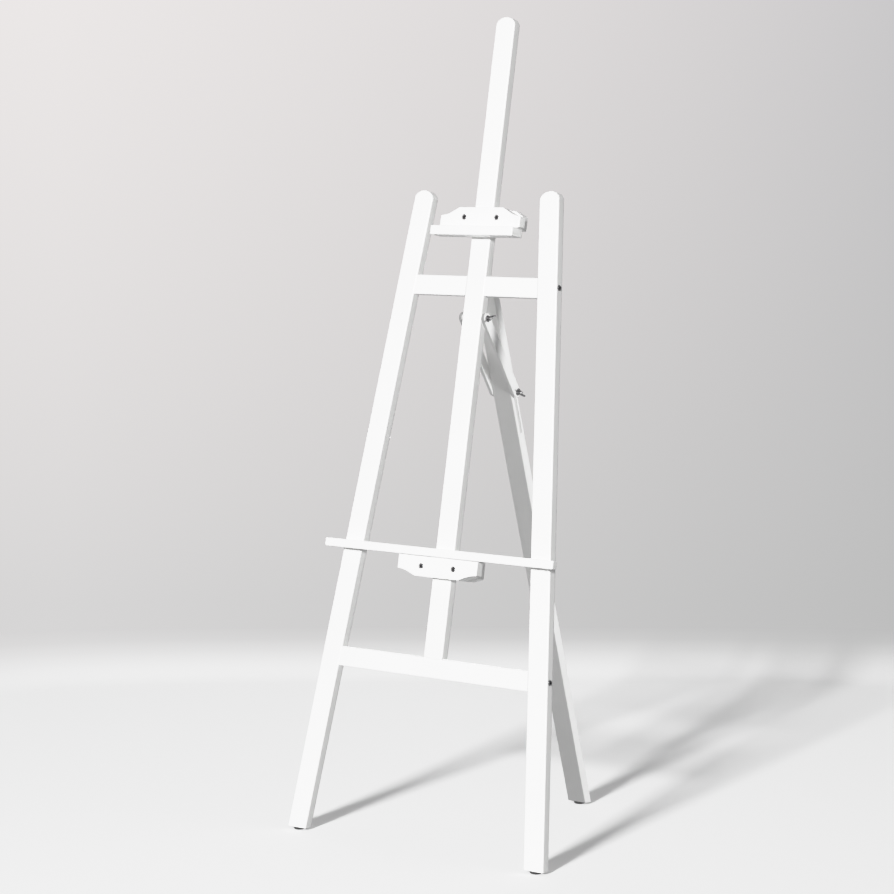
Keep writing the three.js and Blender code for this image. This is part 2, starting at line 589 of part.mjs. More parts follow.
// One clamp: a front and a rear plate drawn together across the mast by two bolts with
// washers and wing nuts. The board is screwed to the front plate's straight edge.
// sizes: base, height and endHeight of the plates, boltRise from the base, centre in x.
function clamp(name, away, sizes, board, screwFace) {
  const { base, height, endHeight, boltRise, centre } = sizes;
  const boltY = base + away * boltRise;
  const boltXs = [centre - CLAMP_BOLT_HALF_PITCH, centre + CLAMP_BOLT_HALF_PITCH];
  const screwXs = BOARD_SCREW_XS.map((x) => centre + x);
  const outline = clampOutline(base, away, height, endHeight);
  const holes = boltXs.map((x) => rodZ(HOLE_RADIUS, -THROUGH, THROUGH, x, boltY));
  const seats = boltXs.map((x) => rodZ(COUNTERBORE_RADIUS, BOLT_SEAT, THROUGH, x, boltY));
  const screwZ = (FRONT_PLATE_BACK + FRONT_PLATE_FACE) / 2;
  // hole along y from a point before the board's outer face to one beyond it
  const bore = (radius, before, beyond, x) => {
    const ends = [screwFace - away * before, screwFace + away * beyond];
    return rodY(radius, Math.min(...ends), Math.max(...ends), x, screwZ, SCREW_SIDES);
  };
  const pilots = screwXs.map((x) => bore(PILOT_RADIUS, 10, BOARD_SCREW_REACH + 1, x));
  const headSeats = screwXs.map((x) => bore(HEAD_SEAT_RADIUS, 5, HEAD_SEAT_DEPTH + HEAD_SUNK, x));
  const frontPlate = prism(outline, FRONT_PLATE_BACK, FRONT_PLATE_FACE).translate(centre, 0, 0);
  add(frame, `${name}_front_plate`, cut(frontPlate, [...holes, ...seats, ...pilots]), paint);
  const ends = [[-THROUGH, centre - REAR_PLATE_HALF], [centre + REAR_PLATE_HALF, THROUGH]].map(
    ([x0, x1]) => box(x0, base - THROUGH, -THROUGH, x1, base + THROUGH, THROUGH),
  );
  const rearPlate = prism(outline, REAR_PLATE_BACK, REAR_PLATE_FACE).translate(centre, 0, 0);
  add(frame, `${name}_rear_plate`, cut(rearPlate, [...holes, ...ends]), paint);
  add(frame, `${name}_board`, cut(board, [...pilots, ...headSeats]), paint);
  boltXs.forEach((x, i) => {
    const side = i === 0 ? 'left' : 'right';
    const seat = BOLT_SEAT + FIT;
    const tip = REAR_PLATE_BACK - BOLT_PAST;
    const head = rodZ(BOLT_HEAD_RADIUS, seat, seat + BOLT_HEAD_LENGTH, x, boltY);
    const shank = rodZ(BOLT_RADIUS, tip, seat + 1, x, boltY);
    const socket = rodZ(SOCKET_RADIUS, seat + SOCKET_FLOOR, seat + THROUGH, x, boltY, 6);
    add(frame, `${name}_${side}_bolt`, cut(join([head, shank]), [socket]), steel);
    const washerZ = REAR_PLATE_BACK - FIT - WASHER_THICKNESS;
    add(frame, `${name}_${side}_washer`, washerSolid().translate(x, boltY, washerZ), steel);
    const turn = i === 0 ? Math.PI * 0.35 : Math.PI * 0.1;
    const nut = wingNut().rotateZ(turn).rotateY(Math.PI).translate(x, boltY, washerZ - FIT);
    add(frame, `${name}_${side}_wing_nut`, nut, steel);
    const screw = woodScrew(BOARD_SCREW_LENGTH).rotateX(away > 0 ? 0 : Math.PI);
    screw.translate(screwXs[i], screwFace + away * HEAD_SUNK, screwZ);
    add(frame, `${name}_${side}_screw`, screw, steel);
  });
}

const ledgeTop = LEDGE_AT + LEDGE_THICKNESS;
const ledgeBoard = box(-LEDGE_HALF, LEDGE_AT, FIT, LEDGE_HALF, ledgeTop, LEDGE_DEPTH);
clamp('upper_ledge', 1, {
  base: ledgeTop + FIT,
  height: LEDGE_PLATE_HEIGHT,
  endHeight: LEDGE_END_HEIGHT,
  boltRise: LEDGE_BOLT_RISE,
  centre: LEDGE_PLATE_OFFSET,
}, ledgeBoard, LEDGE_AT);

// The tray's back corners are clipped, so its plan is drawn and stood on edge.
const trayUnder = TRAY_TOP_AT - TRAY_THICKNESS;
const cutEnd = -FIT - TRAY_CORNER_CUT - 4;
const trayPlan = polygon([
  [-TRAY_HALF + TRAY_CORNER_CUT, -FIT], [TRAY_HALF - TRAY_CORNER_CUT, -FIT],
  [TRAY_HALF, cutEnd], [TRAY_HALF, -TRAY_DEPTH],
  [-TRAY_HALF, -TRAY_DEPTH], [-TRAY_HALF, cutEnd],
]);
const trayBoard = prism(trayPlan, trayUnder, TRAY_TOP_AT).rotateX(-Math.PI / 2);
clamp('tray', -1, {
  base: trayUnder - FIT,
  height: TRAY_PLATE_HEIGHT,
  endHeight: TRAY_END_HEIGHT,
  boltRise: TRAY_BOLT_DROP,
  centre: 0,
}, trayBoard, TRAY_TOP_AT);

// ---------------------------------------------------------------- feet
// Round rubber glides with a shallow dome, one under each leg, nailed flat to its end.
function glide(x, y) {
  return lathe([
    [0, -FOOT_HEIGHT], [FOOT_RADIUS - 3, -FOOT_HEIGHT], [FOOT_RADIUS, -FOOT_HEIGHT + 2.5],
    [FOOT_RADIUS, -FIT], [0, -FIT],
  ]).rotateX(Math.PI / 2).translate(x, y, 0);
}
const legFootY = STOCK_THICKNESS / 2 / Math.cos(LEAN);
const rearFootY = REAR_FACE_Y + STOCK_THICKNESS / 2 / Math.cos(REAR_LEAN);
add(easel, 'left_foot', glide(-LEG_HALF_SPREAD_FLOOR, legFootY), rubber);
add(easel, 'right_foot', glide(LEG_HALF_SPREAD_FLOOR, legFootY), rubber);
add(easel, 'rear_foot', glide(0, rearFootY), rubber);

// ---------------------------------------------------------------- origin
// The feet set the footprint, so the origin lies midway between them, on the floor.
const footprintFront = legFootY - FOOT_RADIUS;
const footprintBack = rearFootY + FOOT_RADIUS;
easel.position.set(0, -(footprintFront + footprintBack) / 2, FOOT_HEIGHT);

const part = new THREE.Group();
part.add(easel);

export default part;
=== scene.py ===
"""Looks of the H frame easel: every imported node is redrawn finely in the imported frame's own axes."""

import json
import math
import random

import bmesh
import bpy
from mathutils import Matrix, Vector


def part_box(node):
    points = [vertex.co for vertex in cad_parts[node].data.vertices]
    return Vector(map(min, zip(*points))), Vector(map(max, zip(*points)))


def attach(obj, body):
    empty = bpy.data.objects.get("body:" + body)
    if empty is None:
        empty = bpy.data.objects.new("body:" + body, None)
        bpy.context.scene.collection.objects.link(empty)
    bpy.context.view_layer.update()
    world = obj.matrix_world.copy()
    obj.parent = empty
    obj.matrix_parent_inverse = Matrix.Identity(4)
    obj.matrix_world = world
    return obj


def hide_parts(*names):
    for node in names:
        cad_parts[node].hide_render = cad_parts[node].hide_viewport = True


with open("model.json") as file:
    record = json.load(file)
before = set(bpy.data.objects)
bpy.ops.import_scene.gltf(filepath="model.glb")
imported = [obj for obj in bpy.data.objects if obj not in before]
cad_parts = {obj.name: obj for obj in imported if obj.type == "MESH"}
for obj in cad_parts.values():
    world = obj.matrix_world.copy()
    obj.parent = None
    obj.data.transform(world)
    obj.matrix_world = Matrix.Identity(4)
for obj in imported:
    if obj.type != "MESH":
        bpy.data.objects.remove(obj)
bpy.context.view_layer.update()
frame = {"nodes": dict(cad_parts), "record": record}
random.seed(11)

MM = 0.001
LEAN = math.radians(10.46)          # front frame, back from vertical
REAR_LEAN = math.radians(16.46)     # rear leg, forward from vertical
LEG_LENGTH = 1450
LEG_FOOT_X, LEG_TOP_X = 333.7, 173.5
LEG_SPLAY = math.atan2(LEG_FOOT_X - LEG_TOP_X, LEG_LENGTH)
SIDES = 48                          # sides of a turned shape
EDGE = 3.0 * MM                     # rounding of the planed timber's edges
BOARD_EDGE = 2.2 * MM
CORNER = 0.9 * MM                   # how much rounder a corner is in outline than its rims
HOLE = 3.4 * MM                     # radius of the bolts' clearance holes
LAP_GAP = 0.3 * MM                  # room round the half lap
BEYOND = 9 * MM                     # how far a cutter runs past what it cuts

BODY_OF = {}
for body, members in frame["record"]["behaviour"]["bodies"].items():
    for member in members:
        BODY_OF[member] = body


# ------------------------------------------------------------------ axes and sizes
def leaning(lean, origin=(0, 0, 0)):
    """Axes of a board that leans back: x across it, y up along it, z out of its front."""
    s, c = math.sin(lean), math.cos(lean)
    x, y, z = origin
    return Matrix(((1, 0, 0, x), (0, s, -c, y), (0, c, s, z), (0, 0, 0, 1)))


def extent(node, basis):
    """Lowest and highest corner of a CAD node in the given axes, in metres."""
    back = basis.inverted()
    corners = [back @ v.co for v in frame["nodes"][node].data.vertices]
    lo = Vector([min(c[i] for c in corners) for i in range(3)])
    hi = Vector([max(c[i] for c in corners) for i in range(3)])
    return lo, hi


def middle(node, basis):
    lo, hi = extent(node, basis)
    return (lo + hi) / 2


FRAME = leaning(LEAN)
REAR = leaning(-REAR_LEAN)
pivot = (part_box("brace_top_washer")[0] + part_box("brace_top_washer")[1]) / 2
pin = (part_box("brace_pin_washer")[0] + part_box("brace_pin_washer")[1]) / 2
BRACE = leaning(-math.atan2(pin.y - pivot.y, pivot.z - pin.z))
LEGS = {
    "left": FRAME @ Matrix.Rotation(-LEG_SPLAY, 4, "Z"),
    "right": FRAME @ Matrix.Rotation(LEG_SPLAY, 4, "Z"),
}
ALONG_X = Matrix.Rotation(math.pi / 2, 4, "Y")       # turns z to run along x
ALONG_Y = Matrix.Rotation(-math.pi / 2, 4, "X")      # turns z to run along y
DOWN_Y = Matrix.Rotation(math.pi / 2, 4, "X")        # turns z to run down y
ACROSS = Matrix.Rotation(math.pi / 2, 4, "Z")        # lays the grain across the frame
SWAP_YZ = Matrix(((1, 0, 0, 0), (0, 0, 1, 0), (0, 1, 0, 0), (0, 0, 0, 1)))
SWAP_XZ = Matrix(((0, 0, 1, 0), (0, 1, 0, 0), (1, 0, 0, 0), (0, 0, 0, 1)))


# ------------------------------------------------------------------ materials
def shader(name):
    """A new material with its node tree, its output shader and a short way to add nodes."""
    material = bpy.data.materials.new(name)
    material.use_nodes = True
    tree = material.node_tree
    surface = tree.nodes["Principled BSDF"]

    def node(kind, inputs=None, **settings):
        made = tree.nodes.new(kind)
        for key, value in settings.items():
            setattr(made, key, value)
        for key, value in (inputs or {}).items():
            if isinstance(value, bpy.types.NodeSocket):
                tree.links.new(value, made.inputs[key])
            else:
                made.inputs[key].default_value = value
        return made

    return material, tree, surface, node


def place(node):
    """The piece's own coordinates in metres, stored on its mesh: y runs along its grain."""
    return node("ShaderNodeAttribute", attribute_name="own_place").outputs["Vector"]


def stretched(node, vector, scale):
    return node("ShaderNodeMapping", {"Vector": vector, "Scale": scale}).outputs["Vector"]


def noise(node, vector, scale, detail=3.0, roughness=0.5):
    made = node("ShaderNodeTexNoise", {
        "Vector": vector, "Scale": scale, "Detail": detail, "Roughness": roughness,
    })
    return made.outputs["Fac"]


def ramp(node, value, *stops):
    made = node("ShaderNodeValToRGB", {"Fac": value})
    elements = made.color_ramp.elements
    while len(elements) < len(stops):
        elements.new(0.5)
    for element, (position, colour) in zip(elements, stops):
        element.position = position
        element.color = (*colour, 1)
    return made.outputs["Color"]


def between(node, value, low, high):
    """A 0 to 1 value mapped to a range."""
    return node("ShaderNodeMapRange", {"Value": value, "To Min": low, "To Max": high}).outputs["Result"]


def bumped(node, height, distance, strength, under=None):
    inputs = {"Height": height, "Distance": distance, "Strength": strength}
    if under is not None:
        inputs["Normal"] = under
    return node("ShaderNodeBump", inputs).outputs["Normal"]


def white_paint():
    """Satin lacquer on planed timber: the grain shows through faintly, edges are rubbed smoother and are
    painted lighter as a painted highlight.
    """
    material, tree, surface, node = shader("white_satin_paint")
    own = place(node)
    edge = node("ShaderNodeAttribute", attribute_name="worn_edge").outputs["Fac"]
    grain = noise(node, stretched(node, own, (1.0, 0.035, 1.0)), 420, 5.0, 0.62)
    rings = node("ShaderNodeTexWave", {
        "Vector": stretched(node, own, (1.0, 0.03, 1.0)), "Scale": 55.0, "Distortion": 6.0,
        "Detail": 3.0, "Detail Scale": 1.6,
    }, bands_direction="X").outputs["Fac"]
    brush = noise(node, stretched(node, own, (1.0, 0.012, 1.0)), 1500, 2.0)
    peel = noise(node, own, 1700, 2.0)
    cloud = noise(node, own, 7.0, 3.0)
    patch = noise(node, stretched(node, own, (1.0, 0.25, 1.0)), 42.0, 4.0)
    tint = ramp(node, cloud, (0.3, (0.785, 0.785, 0.78)), (0.7, (0.825, 0.825, 0.822)))
    streak = ramp(node, grain, (0.25, (0.955, 0.953, 0.948)), (0.62, (1, 1, 1)))
    coloured = node("ShaderNodeMix", {6: tint, 7: streak}, data_type="RGBA", blend_type="MULTIPLY")
    coloured.inputs[0].default_value = 0.55
    # Painted highlight: the colour is made lighter along sharp edges, standing in for the light that
    # rounded edges catch.
    painted_edge_highlight = between(node, edge, 0.0, 0.5)
    highlighted_edges = node("ShaderNodeMix", {0: painted_edge_highlight, 6: coloured.outputs[2]}, data_type="RGBA")
    highlighted_edges.inputs[7].default_value = (0.88, 0.88, 0.875, 1)
    tree.links.new(highlighted_edges.outputs[2], surface.inputs["Base Color"])
    rough = node("ShaderNodeMath", {
        0: between(node, patch, 0.30, 0.50), 1: between(node, edge, 0.0, 0.07),
    }, operation="SUBTRACT").outputs[0]
    tree.links.new(rough, surface.inputs["Roughness"])
    normal = bumped(node, rings, 0.00009, 0.22)
    normal = bumped(node, grain, 0.00014, 0.30, normal)
    normal = bumped(node, brush, 0.00005, 0.25, normal)
    normal = bumped(node, peel, 0.00004, 0.22, normal)
    tree.links.new(normal, surface.inputs["Normal"])
    surface.inputs["Specular IOR Level"].default_value = 0.45
    return material


def metal(name, dark, light, rough, relief):
    """Plated steel: fine tumbling scratches, blotchy tone and lustre."""
    material, tree, surface, node = shader(name)
    own = place(node)
    scratch = noise(node, stretched(node, own, (1.0, 0.12, 1.0)), 5200, 3.0, 0.7)
    blotch = noise(node, own, 260, 4.0, 0.6)
    speck = noise(node, own, 2400, 2.0)
    colour = ramp(node, blotch, (0.32, dark), (0.68, light))
    tree.links.new(colour, surface.inputs["Base Color"])
    mixed = node("ShaderNodeMath", {0: blotch, 1: scratch}, operation="MULTIPLY").outputs[0]
    tree.links.new(between(node, mixed, rough - 0.08, rough + 0.34), surface.inputs["Roughness"])
    normal = bumped(node, scratch, 0.00002, 0.30)
    tree.links.new(bumped(node, speck, 0.00003, relief, normal), surface.inputs["Normal"])
    surface.inputs["Metallic"].default_value = 1.0
    return material


def rubber():
    material, tree, surface, node = shader("black_rubber")
    own = place(node)
    fine = noise(node, own, 2600, 3.0)
    dust = noise(node, own, 190, 4.0, 0.65)
    tree.links.new(ramp(node, dust, (0.40, (0.016, 0.016, 0.017)), (0.78, (0.055, 0.053, 0.05))),
                   surface.inputs["Base Color"])
    tree.links.new(between(node, dust, 0.52, 0.86), surface.inputs["Roughness"])
    tree.links.new(bumped(node, fine, 0.00006, 0.4), surface.inputs["Normal"])
    return material


def bare_wood():
    material, tree, surface, node = shader("bare_beech")
    own = place(node)
    fibre = noise(node, stretched(node, own, (1.0, 0.03, 1.0)), 900, 5.0, 0.6)
    fleck = noise(node, stretched(node, own, (1.0, 0.1, 1.0)), 2600, 2.0)
    tree.links.new(ramp(node, fibre, (0.3, (0.42, 0.26, 0.13)), (0.7, (0.66, 0.47, 0.28))),
                   surface.inputs["Base Color"])
    tree.links.new(between(node, fleck, 0.55, 0.8), surface.inputs["Roughness"])
    tree.links.new(bumped(node, fibre, 0.0001, 0.4), surface.inputs["Normal"])
    return material


PAINT = (white_paint(), "white_paint")
ZINC = (metal("zinc_plated_steel", (0.42, 0.42, 0.43), (0.68, 0.68, 0.67), 0.24, 0.3), "zinc_steel")
BOLT = (metal("bolt_steel", (0.10, 0.10, 0.105), (0.24, 0.24, 0.245), 0.20, 0.3), "zinc_steel")
DARK = (metal("dark_plated_steel", (0.045, 0.045, 0.05), (0.11, 0.11, 0.115), 0.30, 0.35), "dark_steel")
RUBBER = (rubber(), "black_rubber")
WOOD = (bare_wood(), "bare_dowel")


# ------------------------------------------------------------------ mesh helpers
def mesh_from(vertices, faces):
    mesh = bpy.data.meshes.new("shape")
    mesh.from_pydata([tuple(v) for v in vertices], [], faces)
    mesh.update()
    return mesh


def turned(profile, matrix=None, sides=SIDES, ring=False):
    """Solid of revolution about z from (radius, height) points; a ring's profile is closed."""
    vertices, faces, rows = [], [], []
    for radius, height in profile:
        row = []
        if radius < 1e-9:
            row = [len(vertices)] * sides
            vertices.append(Vector((0, 0, height)))
        else:
            for i in range(sides):
                angle = 2 * math.pi * i / sides
                row.append(len(vertices))
                vertices.append(Vector((radius * math.cos(angle), radius * math.sin(angle), height)))
        rows.append(row)
    pairs = list(zip(rows, rows[1:])) + ([(rows[-1], rows[0])] if ring else [])
    for low, high in pairs:
        for i in range(sides):
            j = (i + 1) % sides
            corners = [low[i], low[j], high[j], high[i]]
            kept = [c for n, c in enumerate(corners) if c not in corners[:n]]
            if len(kept) > 2:
                faces.append(kept)
    if matrix is not None:
        vertices = [matrix @ v for v in vertices]
    return outward(mesh_from(vertices, faces))


def outward(mesh):
    shape = bmesh.new()
    shape.from_mesh(mesh)
    bmesh.ops.recalc_face_normals(shape, faces=shape.faces)
    shape.to_mesh(mesh)
    shape.free()
    return mesh


def rounded(points, radius, steps=5, sharpest=150):
    """An outline with its corners rounded; nearly straight corners are left as they are."""
    made = []
    for i, corner in enumerate(points):
        here = Vector(corner)
        before, after = Vector(points[i - 1]) - here, Vector(points[(i + 1) % len(points)]) - here
        opening = before.angle(after)
        if math.degrees(opening) > sharpest:
            made.append(here)
            continue
        reach = min(radius / math.tan(opening / 2), 0.48 * before.length, 0.48 * after.length)
        used = reach * math.tan(opening / 2)
        inward = (before.normalized() + after.normalized()).normalized()
        centre = here + inward * (used / math.sin(opening / 2))
        start = here + before.normalized() * reach - centre
        end = here + after.normalized() * reach - centre
        turn = start.angle_signed(end)
        for step in range(steps + 1):
            made.append(centre + Matrix.Rotation(-turn * step / steps, 2) @ start)
    return made


def inset(points, distance):
    """An anticlockwise outline moved inward by distance."""
    made = []
    count = len(points)
    for i, here in enumerate(points):
        first = (here - points[i - 1]).normalized()
        second = (points[(i + 1) % count] - here).normalized()
        normal = Vector((-first.y - second.y, first.x + second.x)).normalized()
        cosine = max(0.3, normal.dot(Vector((-first.y, first.x))))
        made.append(here + normal * (distance / cosine))
    return made


def slab(outline, z0, z1, radius, steps=4):
    """A board of an outline in x and y, with both rims rounded."""
    outline = [Vector(p) for p in outline]
    area = sum(a.x * b.y - b.x * a.y for a, b in zip(outline, outline[1:] + outline[:1]))
    if area < 0:
        outline.reverse()
    levels = []
    for step in range(steps + 1):
        angle = math.pi / 2 * step / steps
        levels.append((radius * (1 - math.sin(angle)), radius * (1 - math.cos(angle))))
    rows = [(d, z0 + h) for d, h in levels] + [(d, z1 - h) for d, h in reversed(levels)]
    vertices, faces = [], []
    count = len(outline)
    for distance, height in rows:
        vertices += [Vector((p.x, p.y, height)) for p in inset(outline, distance)]
    for row in range(len(rows) - 1):
        for i in range(count):
            j = (i + 1) % count
            a, b = row * count, (row + 1) * count
            faces.append([a + i, a + j, b + j, b + i])
    faces.append(list(reversed(range(count))))
    faces.append(list(range((len(rows) - 1) * count, len(rows) * count)))
    return mesh_from(vertices, faces)


def section(width0, width1, depth0, depth1, radius, steps=4):
    """A rounded rectangle, in the order of its points."""
    corners = [(width0, depth0), (width1, depth0), (width1, depth1), (width0, depth1)]
    return rounded(corners, radius, steps)


def rail(low, high, back, front, end_at, radius):
    """A bar across the frame with long edges rounded and square ends at x = end_at(y) on each side."""
    points = section(low, high, back, front, radius)
    vertices = [Vector((-end_at(p.x), p.x, p.y)) for p in points]
    vertices += [Vector((end_at(p.x), p.x, p.y)) for p in points]
    count = len(points)
    faces = [[i, (i + 1) % count, count + (i + 1) % count, count + i] for i in range(count)]
    faces += [list(range(count)), list(range(count, 2 * count))]
    return outward(mesh_from(vertices, faces))


def block(lo, hi, matrix=None):
    corners = [Vector((x, y, z)) for x in (lo[0], hi[0]) for y in (lo[1], hi[1]) for z in (lo[2], hi[2])]
    if matrix is not None:
        corners = [matrix @ c for c in corners]
    faces = [[0, 1, 3, 2], [4, 6, 7, 5], [0, 4, 5, 1], [2, 3, 7, 6], [0, 2, 6, 4], [1, 5, 7, 3]]
    return outward(mesh_from(corners, faces))


def rod(radius, z0, z1, matrix=None, sides=SIDES):
    return turned([(0, z0), (radius, z0), (radius, z1), (0, z1)], matrix, sides)


def bolt_hole(start, seat, recess, face, matrix):
    """Cutter for a hole from start, widening at the seat to a recess whose rim at the face is softened."""
    soft = 0.7 * MM
    wide, clear = recess + soft, face + 3 * MM
    profile = [(0, start), (HOLE, start), (HOLE, seat), (recess, seat), (recess, face - soft),
               (wide, face + 0.2 * MM), (wide, clear), (0, clear)]
    return turned(profile, matrix)


def combined(mesh, others, operation):
    """The mesh with each of the others cut from it or joined to it."""
    whole = bpy.data.objects.new("whole", mesh)
    bpy.context.scene.collection.objects.link(whole)
    helpers = []
    for other in others:
        helper = bpy.data.objects.new("helper", other)
        bpy.context.scene.collection.objects.link(helper)
        modifier = whole.modifiers.new("combine", "BOOLEAN")
        modifier.operation = operation
        modifier.solver = "EXACT"
        modifier.object = helper
        helpers.append(helper)
    bpy.context.view_layer.update()
    graph = bpy.context.evaluated_depsgraph_get()
    made = bpy.data.meshes.new_from_object(whole.evaluated_get(graph))
    for thing in [whole, *helpers]:
        bpy.data.objects.remove(thing)
    return made


def cut(mesh, *others):
    return combined(mesh, others, "DIFFERENCE")


def join(mesh, *others):
    return combined(mesh, others, "UNION")


def piece(name, mesh, basis, finish, *nodes, grain=None, crease=32):
    """Turns a mesh drawn in the given axes into a piece that stands for its CAD nodes."""
    mesh.name = name
    shift = Vector((random.uniform(-5, 5), random.uniform(-5, 5), random.uniform(-5, 5)))
    mesh.attributes.new("own_place", "FLOAT_VECTOR", "POINT")
    own = mesh.attributes["own_place"].data
    for vertex in mesh.vertices:
        where = grain @ vertex.co if grain is not None else vertex.co
        own[vertex.index].vector = where + shift
    mesh.transform(basis)
    mark_edges(mesh)
    for polygon in mesh.polygons:
        polygon.use_smooth = True
    mesh.set_sharp_from_angle(angle=math.radians(crease))
    mesh.materials.clear()
    mesh.materials.append(finish[0])
    made = bpy.data.objects.new(name, mesh)
    bpy.context.scene.collection.objects.link(made)
    weighted = made.modifiers.new("even_shading", "WEIGHTED_NORMAL")
    weighted.keep_sharp = True
    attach(made, BODY_OF[nodes[0]])
    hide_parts(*nodes)
    return made


def mark_edges(mesh):
    """Stores how sharply the surface turns at each vertex, so that the paint can be made smoother there and
    painted lighter there as a painted highlight.
    """
    shape = bmesh.new()
    shape.from_mesh(mesh)
    wear_and_highlight = []
    for vertex in shape.verts:
        turn = max((abs(e.calc_face_angle(0.0)) for e in vertex.link_edges), default=0.0)
        size = min((f.calc_area() for f in vertex.link_faces), default=1.0)
        wear_and_highlight.append(min(1.0, turn / math.radians(24)) if size < 2e-4 else 0.0)
    shape.free()
    attribute = mesh.attributes.new("worn_edge", "FLOAT", "POINT")
    attribute.data.foreach_set("value", wear_and_highlight)


def round_ended(across, half, high, low, steps):
    """Outline with half-round ends about two centres, the higher one first."""
    outline = []
    for centre, start in ((high, 0.0), (low, math.pi)):
        for i in range(steps + 1):
            angle = start + math.pi * i / steps
            outline.append((across + half * math.cos(angle), centre + half * math.sin(angle)))
    return outline


def in_mm(*points):
    """Points given in millimetres."""
    return [(a * MM, b * MM) for a, b in points]


def arched(low, high, rise, edge=EDGE):
    """Outline of a bar with a rounded top, between two corners."""
    half, centre = (high.x - low.x) / 2, (high.x + low.x) / 2
    top = high.y - rise
    points = [(centre - half, low.y), (centre + half, low.y), (centre + half, top)]
    for i in range(1, 40):
        angle = math.pi * i / 40
        points.append((centre + half * math.cos(angle), top + rise * math.sin(angle)))
    points.append((centre - half, top))
    return rounded(points, edge + CORNER, 5, 140)


# ------------------------------------------------------------------ timber
ARCH_RISE = 19 * MM
HEAD_RECESS = 6.1 * MM
HEAD_ROOM = 4 * MM
FLOOR_UNDER_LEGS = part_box("left_leg")[0].z


def leg(side):
    basis = LEGS[side]
    outwards = 1 if side == "right" else -1
    lo, hi = extent(f"{side}_leg", basis)
    low = Vector((lo.x, lo.y - 12 * MM, lo.z))
    whole = slab(arched(low, hi, ARCH_RISE), lo.z, hi.z, EDGE)
    back = basis.inverted()
    floor = block((-9, -9, FLOOR_UNDER_LEGS - 1), (9, 9, FLOOR_UNDER_LEGS), back)
    holes = []
    for level in ("lower", "upper"):
        bolt_lo, bolt_hi = extent(f"{side}_{level}_leg_bolt", basis)
        axis = Matrix.Translation((0, (bolt_lo.y + bolt_hi.y) / 2, (bolt_lo.z + bolt_hi.z) / 2)) @ ALONG_X
        face, inner = (hi.x, lo.x) if outwards > 0 else (-lo.x, -hi.x)
        facing = axis if outwards > 0 else axis @ Matrix.Rotation(math.pi, 4, "X")
        holes.append(bolt_hole(inner - BEYOND, face - HEAD_ROOM, HEAD_RECESS, face, facing))
    piece(f"{side}_leg_timber", cut(whole, floor, *holes), basis, PAINT, f"{side}_leg")


for side in ("left", "right"):
    leg(side)

mast_lo, mast_hi = extent("mast", FRAME)
for_lap = extent("upper_crossbar", FRAME)
LAP_PLANE = (mast_lo.z + mast_hi.z) / 2
LAP_DEPTH_GAP = 0.15 * MM
mast_low = Vector((mast_lo.x, mast_lo.y - 0.02, mast_lo.z))
mast = slab(arched(mast_low, mast_hi, ARCH_RISE), mast_lo.z, mast_hi.z, EDGE)
brace_bolt = middle("brace_top_bolt", FRAME)
mast = cut(
    mast,
    block((-1, mast_lo.y - 1, -1), (1, mast_lo.y, 1)),
    block((-1, for_lap[0].y - LAP_GAP, -1), (1, for_lap[1].y + LAP_GAP, LAP_PLANE + LAP_DEPTH_GAP)),
    rod(HOLE, -0.1, 0.1, Matrix.Translation((0, brace_bolt.y, brace_bolt.z)) @ ALONG_X),
)
piece("mast_timber", mast, FRAME, PAINT, "mast")


def crossbar(name, extra):
    lo, hi = extent(name, FRAME)
    slope = math.tan(LEG_SPLAY)
    made = rail(lo.y, hi.y, lo.z, hi.z, lambda y: hi.x - (y - lo.y) * slope, EDGE)
    if extra:
        made = cut(made, *extra)
    piece(f"{name}_timber", made, FRAME, PAINT, name, grain=ACROSS)


lap_heads = []
for side in ("left", "right"):
    at = middle(f"{side}_lap_screw", FRAME)
    seat = in_mm((0, -9), (4.3, -9), (4.3, 0.0), (2.0, 2.6), (0, 2.6))
    lap_heads.append(turned(seat, Matrix.Translation((at.x, at.y, for_lap[0].z))))
crossbar("upper_crossbar", [
    block((mast_lo.x - LAP_GAP, -9, LAP_PLANE - LAP_DEPTH_GAP), (mast_hi.x + LAP_GAP, 9, 9)), *lap_heads,
])
crossbar("lower_crossbar", [])

rear_lo, rear_hi = extent("rear_leg", REAR)
pin_at = middle("brace_pin_bolt", REAR)
SLOT_HALF = 4 * MM
SLOT_LENGTH = 95 * MM
slot_top = pin_at.y + 1 * MM
slot_low = pin_at.y - SLOT_LENGTH
rear_middle = (rear_lo.z + rear_hi.z) / 2
rear_low = rear_lo.y - 0.03
rear_outline = [
    (rear_lo.x, rear_low), (rear_hi.x, rear_low), (rear_hi.x, rear_hi.y), (rear_lo.x, rear_hi.y),
]
rear = slab(rounded(rear_outline, EDGE + CORNER), rear_lo.z, rear_hi.z, EDGE)
slot_outline = round_ended(rear_middle, SLOT_HALF, slot_top, slot_low, 12)
slot_cut = outward(slab(slot_outline, -0.06, 0.06, 0.0001, 1))
slot_cut.transform(SWAP_XZ)
outward(slot_cut)
BEVEL_LENGTH, BEVEL_DEPTH = 47 * MM, 4.4 * MM        # planed off the front of the leg's top
bevel_turn = Matrix.Rotation(math.atan2(-BEVEL_DEPTH, BEVEL_LENGTH), 4, "X")
bevel_at = Matrix.Translation((0, rear_hi.y - BEVEL_LENGTH, rear_hi.z)) @ bevel_turn
top_front = block((-1, 0, 0), (1, 0.1, 0.05), bevel_at)
rear_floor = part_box("rear_leg")[0].z
below_floor = block((-9, -9, rear_floor - 1), (9, 9, rear_floor), REAR.inverted())
rear = cut(rear, slot_cut, top_front, below_floor)
piece("rear_leg_timber", rear, REAR, PAINT, "rear_leg")

